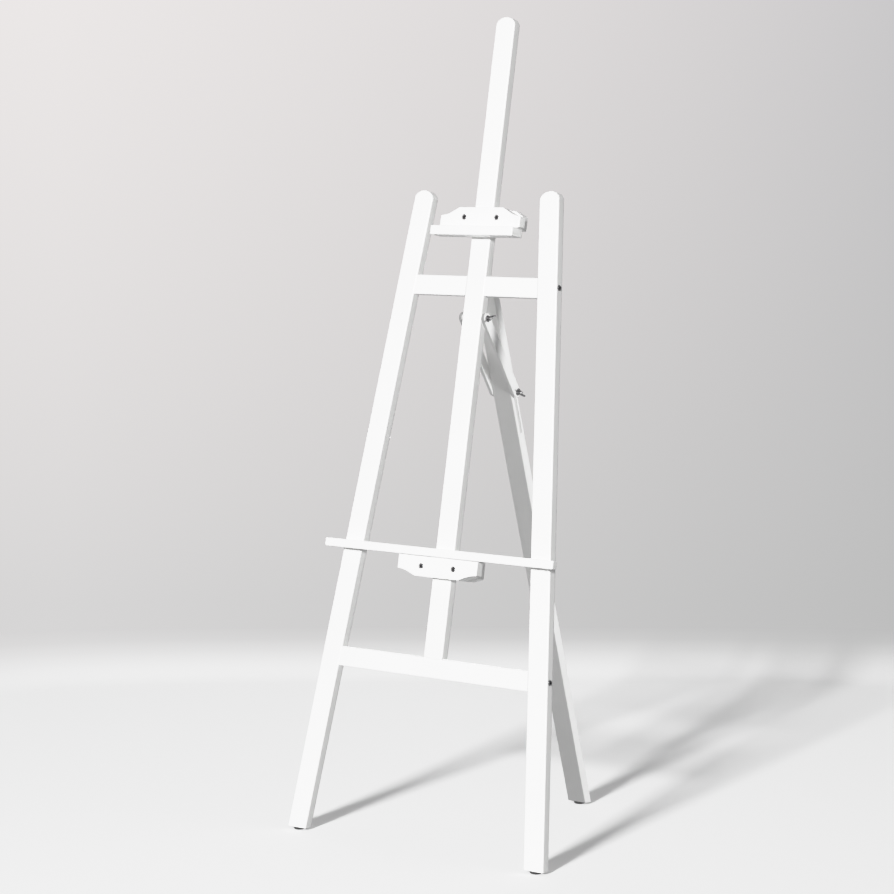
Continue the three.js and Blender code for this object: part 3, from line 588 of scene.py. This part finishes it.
BRACE_EDGE = 1.8 * MM
for side in ("left", "right"):
    lo, hi = extent(f"{side}_brace", BRACE)
    half = (hi.z - lo.z) / 2
    centre = (hi.z + lo.z) / 2
    bolts_at = (hi.y - half, lo.y + half)
    stick = slab(round_ended(centre, half, *bolts_at, 24), lo.x, hi.x, BRACE_EDGE)
    stick.transform(SWAP_XZ)
    outward(stick)
    holes = [rod(HOLE, -0.1, 0.1, Matrix.Translation((0, at, centre)) @ ALONG_X) for at in bolts_at]
    piece(f"{side}_brace_stick", cut(stick, *holes), BRACE, PAINT, f"{side}_brace")


# ------------------------------------------------------------------ clamps
CLAMP_FLAT_HALF = 58 * MM
SEAT_DEPTH = 7.5 * MM
SEAT_RADIUS = 6.6 * MM


def cove_outline(half, base, away, height, end_height, ends_at):
    """Shaped plate: straight along the board, coves up to a flat stretch, sawn off at ends_at."""
    rise = height - end_height
    reach = half - CLAMP_FLAT_HALF
    shoulder, top = base + away * end_height, base + away * height
    ends = [(half, shoulder), (half - reach * 0.55, shoulder + away * rise * 0.1),
            (CLAMP_FLAT_HALF + reach * 0.225, top - away * rise * 0.1), (CLAMP_FLAT_HALF, top)]
    curve = []
    for i in range(25):
        t = i / 24
        weights = ((1 - t) ** 3, 3 * t * (1 - t) ** 2, 3 * t * t * (1 - t), t ** 3)
        x = sum(w * p[0] for w, p in zip(weights, ends))
        y = sum(w * p[1] for w, p in zip(weights, ends))
        curve.append(Vector((x, y)))
    end = next(i for i, spot in enumerate(curve) if spot.x <= ends_at)
    if end > 0:
        before, after = curve[end - 1], curve[end]
        curve = [before.lerp(after, (before.x - ends_at) / (before.x - after.x)), *curve[end:]]
    # Points close to the end corner would be lost in its rounding.
    curve = [spot for spot in curve if spot == curve[0] or (spot - curve[0]).length > 7.5 * MM]
    right = [(ends_at, base), *curve]
    left = [(-x, y) for x, y in reversed(right)]
    return rounded(right + left, BOARD_EDGE + CORNER, 5, 140)


def clamp(name, away, end_height):
    """The front and rear plates of one clamp; away is 1 where they rise from the board, else -1."""
    bolts = [middle(f"{name}_{side}_bolt", FRAME) for side in ("left", "right")]
    front_lo, front_hi = extent(f"{name}_front_plate", FRAME)
    half = (front_hi.x - front_lo.x) / 2
    base = front_lo.y if away > 0 else front_hi.y
    for position in ("front", "rear"):
        node = f"{name}_{position}_plate"
        lo, hi = extent(node, FRAME)
        outline = cove_outline(half, base, away, hi.y - lo.y, end_height, (hi.x - lo.x) / 2)
        plate = slab(outline, lo.z, hi.z, BOARD_EDGE)
        plate.transform(Matrix.Translation(((hi.x + lo.x) / 2, 0, 0)))
        holes = []
        for bolt in bolts:
            at = Matrix.Translation((bolt.x, bolt.y, 0))
            if position == "front":
                holes.append(bolt_hole(lo.z - BEYOND, hi.z - SEAT_DEPTH, SEAT_RADIUS, hi.z, at))
            else:
                holes.append(rod(HOLE, -1, 1, at))
        piece(f"{node}_timber", cut(plate, *holes), FRAME, PAINT, node, grain=ACROSS)


clamp("upper_ledge", 1, 25 * MM)
clamp("tray", -1, 32 * MM)


def board(name, node, corner_cut):
    """A board drawn in plan, its back corners clipped by corner_cut, with two countersinks."""
    lo, hi = extent(node, FRAME)
    if corner_cut:
        x, inner, clipped = hi.x, hi.x - corner_cut, lo.z + corner_cut + 4 * MM
        plan = [(-x, hi.z), (-x, clipped), (-inner, lo.z), (inner, lo.z), (x, clipped), (x, hi.z)]
    else:
        plan = [(lo.x, hi.z), (lo.x, lo.z), (hi.x, lo.z), (hi.x, hi.z)]
    made = slab(rounded(plan, BOARD_EDGE + CORNER, 5, 160), lo.y, hi.y, BOARD_EDGE)
    made.transform(SWAP_YZ)
    outward(made)
    holes = []
    up = node.startswith("tray")
    for side in ("left", "right"):
        screw = middle(f"{node.rsplit('_', 1)[0]}_{side}_screw", FRAME)
        face = hi.y if up else -lo.y
        recess = [(0, face - 3 * MM), (2 * MM, face - 3 * MM), (4.3 * MM, face - 0.6 * MM),
                  (4.3 * MM, face + MM), (0, face + MM)]
        turn = ALONG_Y if up else DOWN_Y
        holes.append(turned(recess, Matrix.Translation((screw.x, 0, screw.z)) @ turn))
    piece(name, cut(made, *holes), FRAME, PAINT, node, grain=ACROSS)


board("upper_ledge_timber", "upper_ledge_board", 0)
board("tray_timber", "tray_board", 14 * MM)


# ------------------------------------------------------------------ hardware
THREAD_RADIUS = 3 * MM
SOCKET_RADIUS = 2.9 * MM             # to the corners of its hexagon


def threaded(radius, start, end, pitch=1.0 * MM):
    """Profile of a threaded stretch, as ridges, from the lower to the higher station."""
    depth = 0.55 * pitch
    points = []
    turns = int((end - start) / pitch)
    for i in range(turns):
        z = start + i * pitch
        points += [(radius - depth, z), (radius, z + 0.42 * pitch), (radius, z + 0.58 * pitch)]
    points.append((radius - depth, start + turns * pitch))
    return points


def cross_slot(half_width, half_length, depth):
    """Cutters for the crossed slots of a screw's head, its top at z = 0."""
    return [block((-half_width, -half_length, -MM), (half_width, half_length, depth)),
            block((-half_length, -half_width, -MM), (half_length, half_width, depth))]


def socket_bolt(length, head_radius, head_length, thread):
    """Socket-headed bolt along z: tip at z = 0, the top of its head at z = length."""
    r, head = THREAD_RADIUS, head_radius
    under = length - head_length
    profile = [(0, 0), (r - 1.1 * MM, 0), *threaded(r, 0.8 * MM, thread)]
    profile += [(r, thread + 0.6 * MM), (r, under - 0.3 * MM), (r + 0.4 * MM, under)]
    profile += [(head - 0.3 * MM, under), (head, under + 0.3 * MM), (head, length - 0.8 * MM)]
    profile += [(head - 0.25 * MM, length - 0.3 * MM), (head - 0.8 * MM, length), (0, length)]
    hexagon = rod(SOCKET_RADIUS, length - 3 * MM, length + 5 * MM, None, 6)
    return cut(turned(profile, None, 36), hexagon)


for node in [n for n in frame["nodes"] if n.endswith("_leg_bolt")]:
    side = "left" if node.startswith("left") else "right"
    basis = LEGS[side]
    lo, hi = extent(node, basis)
    length = hi.x - lo.x
    mesh = socket_bolt(length, (hi.y - lo.y) / 2, head_length=4.7 * MM, thread=20 * MM)
    turn = ALONG_X if side == "right" else Matrix.Rotation(-math.pi / 2, 4, "Y")
    start = lo.x if side == "right" else hi.x
    mesh.transform(Matrix.Translation((start, (lo.y + hi.y) / 2, (lo.z + hi.z) / 2)) @ turn)
    piece(f"{node}_turned", mesh, basis, BOLT, node)
    barrel = node.replace("leg_bolt", "barrel_nut")
    lo, hi = extent(barrel, basis)
    c = (lo + hi) / 2
    r = (hi.x - lo.x) / 2
    e = 0.5 * MM
    profile = [(0, lo.z), (r - e, lo.z), (r, lo.z + e), (r, hi.z - e), (r - e, hi.z), (0, hi.z)]
    body = turned(profile, Matrix.Translation((c.x, c.y, 0)), 36)
    slot_low = (c.x - 0.6 * MM, c.y - BEYOND, lo.z - MM)
    slot_bar = block(slot_low, (c.x + 0.6 * MM, c.y + BEYOND, lo.z + 1.2 * MM))
    bore = rod(HOLE, -0.2, 0.2, Matrix.Translation((0, c.y, c.z)) @ ALONG_X, 32)
    bore.transform(Matrix.Translation((c.x, 0, 0)))
    piece(f"{barrel}_turned", cut(body, slot_bar, bore), basis, ZINC, barrel)

for node in [n for n in frame["nodes"] if n.endswith("_bolt") and n.startswith(("upper_ledge", "tray"))]:
    lo, hi = extent(node, FRAME)
    mesh = socket_bolt(hi.z - lo.z, (hi.x - lo.x) / 2, head_length=6 * MM, thread=34 * MM)
    mesh.transform(Matrix.Translation(((lo.x + hi.x) / 2, (lo.y + hi.y) / 2, lo.z)))
    piece(f"{node}_turned", mesh, FRAME, BOLT, node)

for node, basis in (("brace_top_bolt", FRAME), ("brace_pin_bolt", BRACE)):
    lo, hi = extent(node, basis)
    c = (lo + hi) / 2
    length = hi.x - lo.x
    r = THREAD_RADIUS
    head = (hi.y - lo.y) / 2
    thread = length - 30 * MM
    profile = [(0, 0.0), (head * 0.45, 0.25 * MM), (head * 0.8, 1.1 * MM), (head, 2.9 * MM)]
    profile += [(head, 3.6 * MM), (head - 0.4 * MM, 4 * MM), (r, 4 * MM), (r, thread)]
    profile += [*threaded(r, thread, length - 0.8 * MM), (r - 1.1 * MM, length), (0, length)]
    mesh = turned(profile, None, 36)
    mesh = cut(mesh, *cross_slot(0.55 * MM, 2.7 * MM, 1.8 * MM))
    mesh.transform(Matrix.Translation((lo.x, c.y, c.z)) @ ALONG_X)
    piece(f"{node}_turned", mesh, basis, ZINC, node)


WASHER_THICKNESS = 1.5 * MM


def washer(thickness):
    """A flat washer along z, with its edges eased."""
    r, inner, e = 7 * MM, 3.3 * MM, 0.25 * MM
    profile = [(inner + e, 0), (r - e, 0), (r, e), (r, thickness - e), (r - e, thickness)]
    profile += [(inner + e, thickness), (inner, thickness - e), (inner, e)]
    return turned(profile, None, SIDES, ring=True)


for node in [n for n in frame["nodes"] if n.endswith("_washer")]:
    basis = BRACE if node == "brace_pin_washer" else FRAME
    lo, hi = extent(node, basis)
    c = (lo + hi) / 2
    mesh = washer(WASHER_THICKNESS)
    if node.startswith("brace"):
        mesh.transform(Matrix.Translation((lo.x, c.y, c.z)) @ ALONG_X)
    else:
        mesh.transform(Matrix.Translation((c.x, c.y, lo.z)))
    piece(f"{node}_turned", mesh, basis, ZINC, node)


WING_HALF = 1.35 * MM                # half a wing's thickness
VOXEL = 0.28 * MM


def wing_nut():
    """Cast wing nut along z, seated on z = 0: filleted hub, two upswept rounded wings."""
    hub = turned(in_mm((0, 0), (5.6, 0), (6, 0.5), (5.4, 2.5), (4.7, 6.5), (4.2, 7), (0, 7)), None, 32)
    wings = []
    for sign in (1, -1):
        points = [(2, 0.9), (5, 1.0), (8, 1.5), (10.6, 2.6), (12.9, 4.6), (14.5, 7.2), (15, 9.2),
                  (14.5, 10.9), (13.3, 11.8), (11.8, 11.9), (10.4, 11.2), (9.3, 9.6), (8, 8.0),
                  (6.2, 6.9), (2, 6.6)]
        points = [(sign * x * MM, y * MM) for x, y in points]
        wing = slab(points, -WING_HALF, WING_HALF, 0.9 * MM, 3)
        wing.transform(DOWN_Y)
        wings.append(outward(wing))
    whole = join(hub, *wings)
    thing = bpy.data.objects.new("nut", whole)
    bpy.context.scene.collection.objects.link(thing)
    remesh = thing.modifiers.new("cast", "REMESH")
    remesh.mode = "VOXEL"
    remesh.voxel_size = VOXEL
    soften = thing.modifiers.new("soften", "SMOOTH")
    soften.factor = 0.5
    soften.iterations = 5
    fewer = thing.modifiers.new("fewer", "DECIMATE")
    fewer.ratio = 0.22
    bpy.context.view_layer.update()
    made = bpy.data.meshes.new_from_object(thing.evaluated_get(bpy.context.evaluated_depsgraph_get()))
    bpy.data.objects.remove(thing)
    return cut(made, rod(3.15 * MM, -MM, 20 * MM, None, 32))


nut_shape = wing_nut()
for node in [n for n in frame["nodes"] if n.endswith("_wing_nut")]:
    basis = BRACE if node == "brace_pin_wing_nut" else FRAME
    lo, hi = extent(node, basis)
    bolt = node.replace("_wing_nut", "_bolt")
    axis = middle(bolt, basis)
    mesh = nut_shape.copy()
    if node.startswith("brace"):
        turn = math.pi * (0.2 if "top" in node else 0.6)
        mesh.transform(Matrix.Translation((lo.x, axis.y, axis.z)) @ ALONG_X @ Matrix.Rotation(turn, 4, "Z"))
    else:
        turn = math.pi * (0.35 if "left" in node else 0.1)
        facing_back = Matrix.Rotation(math.pi, 4, "Y") @ Matrix.Rotation(turn, 4, "Z")
        mesh.transform(Matrix.Translation((axis.x, axis.y, hi.z)) @ facing_back)
    piece(f"{node}_cast", mesh, basis, BOLT, node, crease=50)


def wood_screw(length):
    """Countersunk wood screw from its head at z = 0 to its tip at z = length."""
    points = [(0, 0), (3.75 * MM, 0), (3.8 * MM, 0.35 * MM), (1.75 * MM, 2.5 * MM), (1.7 * MM, 5 * MM)]
    z = 5 * MM
    while z < length - 3.5 * MM:
        points += [(1.15 * MM, z), (1.7 * MM, z + 0.8 * MM)]
        z += 1.6 * MM
    points += [(1.1 * MM, length - 3 * MM), (0, length)]
    return cut(turned(points, None, 24), *cross_slot(0.5 * MM, 2.5 * MM, 1.2 * MM))


def pan_screw(length):
    """Round-headed screw: its head stands below z = 0 and its tip is at z = length."""
    points = in_mm((0, -1.9), (1.4, -1.75), (2.5, -1.35), (3.2, -0.7), (3.4, 0), (1.3, 0))
    z = 2 * MM
    while z < length - 3 * MM:
        points += [(0.95 * MM, z), (1.3 * MM, z + 0.7 * MM)]
        z += 1.4 * MM
    points += [(0.9 * MM, length - 2 * MM), (0, length)]
    slot_cutter = block((-0.4 * MM, -4 * MM, -3 * MM), (0.4 * MM, 4 * MM, -0.9 * MM))
    return cut(turned(points, None, 24), slot_cutter)


for node in [n for n in frame["nodes"] if n.endswith("_screw")]:
    lo, hi = extent(node, FRAME)
    c = (lo + hi) / 2
    if "lap" in node:
        mesh = wood_screw(hi.z - lo.z)
        mesh.transform(Matrix.Translation((c.x, c.y, lo.z)))
    else:
        mesh = wood_screw(hi.y - lo.y)
        if node.startswith("tray"):
            mesh.transform(Matrix.Translation((c.x, hi.y, c.z)) @ DOWN_Y)
        else:
            mesh.transform(Matrix.Translation((c.x, lo.y, c.z)) @ ALONG_Y)
    piece(f"{node}_turned", mesh, FRAME, ZINC, node)

PAN_HEIGHT = 1.9 * MM
for number in (1, 2):
    node = f"hinge_mast_screw_{number}"
    lo, hi = extent(node, FRAME)
    mesh = pan_screw(hi.z - lo.z - PAN_HEIGHT)
    seat_at = Matrix.Translation(((lo.x + hi.x) / 2, (lo.y + hi.y) / 2, lo.z + PAN_HEIGHT))
    mesh.transform(seat_at @ Matrix.Rotation(0.5 * number, 4, "Z"))
    piece(f"{node}_turned", mesh, FRAME, DARK, node)
    node = f"hinge_leg_screw_{number}"
    lo, hi = extent(node, REAR)
    mesh = pan_screw(hi.y - lo.y - PAN_HEIGHT)
    seat_at = Matrix.Translation(((lo.x + hi.x) / 2, hi.y - PAN_HEIGHT, (lo.z + hi.z) / 2))
    mesh.transform(seat_at @ DOWN_Y)
    piece(f"{node}_turned", mesh, REAR, DARK, node)

# Hinge: rolled knuckles and a plate for each leaf, joined in one shape, round a domed pin.
pin_lo, pin_hi = extent("hinge_pin", FRAME)
PIN_RADIUS = (pin_hi.y - pin_lo.y) / 2
KNUCKLE = 3 * MM
KNUCKLES = 5
LEAF_HALF = 22 * MM
LEAF_THICKNESS = 1.5 * MM
dome = [(0, pin_lo.x), (PIN_RADIUS * 0.7, pin_lo.x + 0.25 * MM), (PIN_RADIUS, pin_lo.x + 0.9 * MM),
        (PIN_RADIUS, pin_hi.x - 0.9 * MM), (PIN_RADIUS * 0.7, pin_hi.x - 0.25 * MM), (0, pin_hi.x)]
pin_centre = middle("hinge_pin", FRAME)
pin_axis = Matrix.Translation((0, pin_centre.y, pin_centre.z)) @ ALONG_X
piece("hinge_pin_turned", turned(dome, pin_axis, 32), FRAME, DARK, "hinge_pin")


def leaf(name, node, basis, first, plate):
    """A hinge leaf with its knuckles, every second one from the first."""
    centre = middle("hinge_pin", basis)
    axis = Matrix.Translation((0, centre.y, centre.z)) @ ALONG_X
    step = 2 * LEAF_HALF / KNUCKLES
    knuckles, rooms = [], []
    for i in range(KNUCKLES):
        x0 = -LEAF_HALF + i * step
        if i % 2 == first:
            a, b, e = x0 + 0.15 * MM, x0 + step - 0.15 * MM, 0.3 * MM
            eased = KNUCKLE - e
            profile = [(0, a), (eased, a), (KNUCKLE, a + e), (KNUCKLE, b - e), (eased, b), (0, b)]
            knuckles.append(turned(profile, axis, 32))
        else:
            rooms.append(rod(KNUCKLE + 0.3 * MM, x0 - 0.15 * MM, x0 + step + 0.15 * MM, axis, 32))
    bore = rod(PIN_RADIUS + 0.12 * MM, -0.1, 0.1, axis, 32)
    piece(name, cut(join(plate, *knuckles), *rooms, bore), basis, DARK, node)


def leaf_outline(low, high):
    corners = [(-LEAF_HALF, low), (LEAF_HALF, low), (LEAF_HALF, high), (-LEAF_HALF, high)]
    return rounded(corners, 1.5 * MM)


_, hi = extent("hinge_mast_leaf", FRAME)
mast_plate = slab(leaf_outline(pin_centre.y, hi.y), hi.z - LEAF_THICKNESS, hi.z, 0.3 * MM, 2)
leaf("hinge_mast_leaf_rolled", "hinge_mast_leaf", FRAME, 0, mast_plate)
lo, _ = extent("hinge_leg_leaf", REAR)
pin_rear = middle("hinge_pin", REAR)
leaf_top = pin_rear.y - LEAF_THICKNESS
leg_plate = slab(leaf_outline(lo.z, pin_rear.z), leaf_top - LEAF_THICKNESS, leaf_top, 0.3 * MM, 2)
leg_plate.transform(SWAP_YZ)
leaf("hinge_leg_leaf_rolled", "hinge_leg_leaf", REAR, 1, outward(leg_plate))

lo, hi = extent("mast_foot_dowel", FRAME)
c = (lo + hi) / 2
r = (hi.x - lo.x) / 2
FLUTES = 12
FLUTE_DEPTH = 0.45 * MM
fluted = []
for i in range(144):
    angle = 2 * math.pi * i / 144
    radius = r - FLUTE_DEPTH * max(0.0, -math.cos(FLUTES * angle)) ** 2
    fluted.append((c.x + radius * math.cos(angle), c.z + radius * math.sin(angle)))
dowel = slab(fluted, lo.y, hi.y, 0.5 * MM)
dowel.transform(SWAP_YZ)
piece("mast_foot_dowel_fluted", outward(dowel), FRAME, WOOD, "mast_foot_dowel")

for node in ("left_foot", "right_foot", "rear_foot"):
    lo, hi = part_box(node)
    c = (lo + hi) / 2
    r = (hi.x - lo.x) / 2
    profile = [(0, lo.z), (r - 4.2 * MM, lo.z), (r - 2.4 * MM, lo.z + 0.5 * MM)]
    profile += [(r - 0.9 * MM, lo.z + 1.5 * MM), (r, lo.z + 3 * MM), (r, hi.z - 0.8 * MM)]
    profile += [(r - 0.25 * MM, hi.z - 0.25 * MM), (r - 0.8 * MM, hi.z), (0, hi.z)]
    pad = turned(profile, Matrix.Translation((c.x, c.y, 0)))
    piece(f"{node}_pad", pad, Matrix.Identity(4), RUBBER, node)


# ------------------------------------------------------------------ studio
CAMERA_AT = (3.9731, -5.1174, 1.4791)
YAW = math.radians(38.88)            # the camera's heading
PITCH = math.radians(-5.45)
LENS, SENSOR = 117.27, 36
FORWARD = Vector((-math.sin(YAW), math.cos(YAW), 0))
RIGHT = Vector((math.cos(YAW), math.sin(YAW), 0))
FLOOR_REACH = 1.83                   # from the middle to where the floor curves up
SWEEP = 0.32                         # radius of that curve
WALL_TOP = 6.0
RING_SIDES = 160
WALL_LIGHT_FADE_HALF = 1.25                # how far to each side the wall's painted light changes


def ring_of(distance, height):
    """A rounded square, level with the floor, its sides square to the camera's heading."""
    points = []
    for i in range(RING_SIDES):
        angle = 2 * math.pi * i / RING_SIDES
        c, s = math.cos(angle), math.sin(angle)
        scale = distance / (c ** 4 + s ** 4) ** 0.25
        spot = RIGHT * (scale * c) + FORWARD * (scale * s)
        points.append(Vector((spot.x, spot.y, height)))
    return points


def rings(levels, closed_middle):
    """A surface through rings of distance, height and share of glow, facing inwards and up."""
    vertices, faces, blend = [], [], []
    count = RING_SIDES
    for distance, height, share in levels:
        vertices += ring_of(distance, height)
        blend += [share] * count
    for row in range(len(levels) - 1):
        for i in range(count):
            j = (i + 1) % count
            faces.append([row * count + i, (row + 1) * count + i, (row + 1) * count + j, row * count + j])
    if closed_middle:
        faces.append(list(range(count)))
    mesh = mesh_from(vertices, faces)
    attribute = mesh.attributes.new("sweep", "FLOAT", "POINT")
    attribute.data.foreach_set("value", blend)
    for polygon in mesh.polygons:
        polygon.use_smooth = True
    return mesh


def studio_material():
    """Paper: lit like any matt floor; as a wall it glows with painted light, brighter to the left and
    higher up; clear when seen from outside.
    """
    material, tree, surface, node = shader("studio_paper")
    spot = node("ShaderNodeNewGeometry")
    position = spot.outputs["Position"]
    dot = node("ShaderNodeVectorMath", {0: position, 1: tuple(RIGHT)}, operation="DOT_PRODUCT")
    across = node("ShaderNodeMapRange", {
        "Value": dot.outputs["Value"], "From Min": -WALL_LIGHT_FADE_HALF, "From Max": WALL_LIGHT_FADE_HALF,
    }).outputs["Result"]
    height = node("ShaderNodeSeparateXYZ", {0: position}).outputs["Z"]
    up = node("ShaderNodeMapRange", {"Value": height, "From Min": 0.2, "From Max": 2.0}).outputs["Result"]
    # Painted light on the wall: its glow is brighter to the left and higher up, standing in for the room's
    # lighting.
    left = ramp(node, up, (0.0, LEFT_LOW), (1.0, LEFT_HIGH))
    right = ramp(node, up, (0.0, RIGHT_LOW), (1.0, RIGHT_HIGH))
    painted_wall_light = node("ShaderNodeMix", {0: across, 6: left, 7: right}, data_type="RGBA").outputs[2]
    glow = node("ShaderNodeEmission", {"Color": painted_wall_light, "Strength": 1.0})
    surface.inputs["Base Color"].default_value = (0.95, 0.95, 0.95, 1)
    surface.inputs["Roughness"].default_value = 0.9
    surface.inputs["Specular IOR Level"].default_value = 0.1
    share = node("ShaderNodeAttribute", attribute_name="sweep").outputs["Fac"]
    lit = node("ShaderNodeMixShader", {0: share, 1: surface.outputs[0], 2: glow.outputs[0]})
    clear = node("ShaderNodeBsdfTransparent")
    outside = spot.outputs["Backfacing"]
    both = node("ShaderNodeMixShader", {0: outside, 1: lit.outputs[0], 2: clear.outputs[0]})
    tree.links.new(both.outputs[0], tree.nodes["Material Output"].inputs["Surface"])
    return material


def linear(*values):
    """Display values of 0 to 255 as scene colours."""
    return tuple(((v / 255 + 0.055) / 1.055) ** 2.4 for v in values)


# Colours of the wall's painted light, low and high, at its left and at its right.
LEFT_LOW, LEFT_HIGH = linear(208, 207, 207), linear(236, 230, 229)
RIGHT_LOW, RIGHT_HIGH = linear(188, 188, 188), linear(197, 196, 197)

paper = studio_material()
floor_levels = [(d, 0.0, 0.0) for d in (0.9, 1.2, 1.5, 1.7)]
for i in range(13):
    angle = math.pi / 2 * i / 12
    share = 0.5 - 0.5 * math.cos(math.pi * min(1.0, i / 7))
    floor_levels.append((FLOOR_REACH + SWEEP * math.sin(angle), SWEEP * (1 - math.cos(angle)), share))
wall_levels = [(FLOOR_REACH + SWEEP, SWEEP, 1.0), (FLOOR_REACH + SWEEP, WALL_TOP, 1.0)]
for name, levels in (("studio_floor", floor_levels), ("studio_wall", wall_levels)):
    mesh = rings(levels, name == "studio_floor")
    mesh.materials.append(paper)
    thing = bpy.data.objects.new(name, mesh)
    bpy.context.scene.collection.objects.link(thing)
    thing.visible_shadow = False
    thing.visible_diffuse = False

AIR_BELOW = 0.37                     # stands in for the light that the floor would throw back
AIR_LEVEL, AIR_OVERHEAD = 0.05, 0.42    # the room's soft light, level with the eye and overhead

world = bpy.data.worlds.new("studio_air")
world.use_nodes = True
air = world.node_tree
sky = air.nodes.new("ShaderNodeTexCoord")
height = air.nodes.new("ShaderNodeSeparateXYZ")
upper = air.nodes.new("ShaderNodeMapRange")
upper.inputs["To Min"].default_value = AIR_LEVEL
upper.inputs["To Max"].default_value = AIR_OVERHEAD
below = air.nodes.new("ShaderNodeMath")
below.operation = "LESS_THAN"
below.inputs[1].default_value = 0.0
thrown = air.nodes.new("ShaderNodeMath")
thrown.operation = "MULTIPLY_ADD"
thrown.inputs[1].default_value = AIR_BELOW - AIR_LEVEL
air.links.new(sky.outputs["Generated"], height.inputs[0])
air.links.new(height.outputs["Z"], upper.inputs["Value"])
air.links.new(height.outputs["Z"], below.inputs[0])
air.links.new(below.outputs[0], thrown.inputs[0])
air.links.new(upper.outputs["Result"], thrown.inputs[2])
air.links.new(thrown.outputs[0], air.nodes["Background"].inputs["Strength"])
air.nodes["Background"].inputs["Color"].default_value = (1.0, 1.0, 1.0, 1)
bpy.context.scene.world = world


def lamp(name, at, target, width, height, watts, shadows=True):
    """A rectangular lamp that faces its target."""
    data = bpy.data.lights.new(name, "AREA")
    data.shape = "RECTANGLE"
    data.size = width
    data.size_y = height
    data.energy = watts
    data.use_shadow = shadows
    thing = bpy.data.objects.new(name, data)
    thing.location = at
    thing.rotation_euler = (Vector(target) - Vector(at)).to_track_quat("-Z", "Y").to_euler()
    bpy.context.scene.collection.objects.link(thing)
    return thing


def lit_by(light, names, state):
    """INCLUDE: the light falls only on the named pieces. EXCLUDE: it falls on all but them."""
    chosen = bpy.data.collections.new(f"{light.name}_choice")
    for name in names:
        chosen.objects.link(bpy.data.objects[name])
    for entry in chosen.collection_objects:
        entry.light_linking.link_state = state
    light.light_linking.receiver_collection = chosen


# The main light leaves out the rear leg and its braces, and a lamp of their own lights them
# from the right, so that their fronts are in shade and their right sides are bright.
SHADED = ("rear_leg_timber", "left_brace_stick", "right_brace_stick")
key = lamp("key_light", (3.95, -16.6, 6.3), (0, 0, 0.4), 2.3, 2.0, 5050)
lit_by(key, SHADED, "EXCLUDE")
side_lamp = lamp("side_light", (5.69, -1.42, 2.15), (0, 0, 0.9), 1.0, 1.0, 275)
lit_by(side_lamp, SHADED, "INCLUDE")
lamp("back_fill", (-7.3, 9.4, 1.0), (0, 0, 0.95), 3.0, 3.0, 780, shadows=False)

camera_data = bpy.data.cameras.new("camera")
camera_data.lens = LENS
camera_data.sensor_width = SENSOR
camera = bpy.data.objects.new("camera", camera_data)
camera.location = CAMERA_AT
camera.rotation_euler = (math.radians(90) + PITCH, 0, YAW)
bpy.context.scene.collection.objects.link(camera)
bpy.context.scene.camera = camera
view = bpy.context.scene.view_settings
view.view_transform = "Standard"
# Whites roll off instead of clipping: unchanged up to about 0.82, then a shoulder that ends at 2.
view.use_curve_mapping = True
view.curve_mapping.white_level = (2, 2, 2)
shoulder = view.curve_mapping.curves[3]
shoulder.points[1].location = (1.0, 1.0)
for point in ((0.21, 0.42), (0.41, 0.82), (0.52, 0.89), (0.68, 0.935)):
    shoulder.points.new(*point)
view.curve_mapping.update()
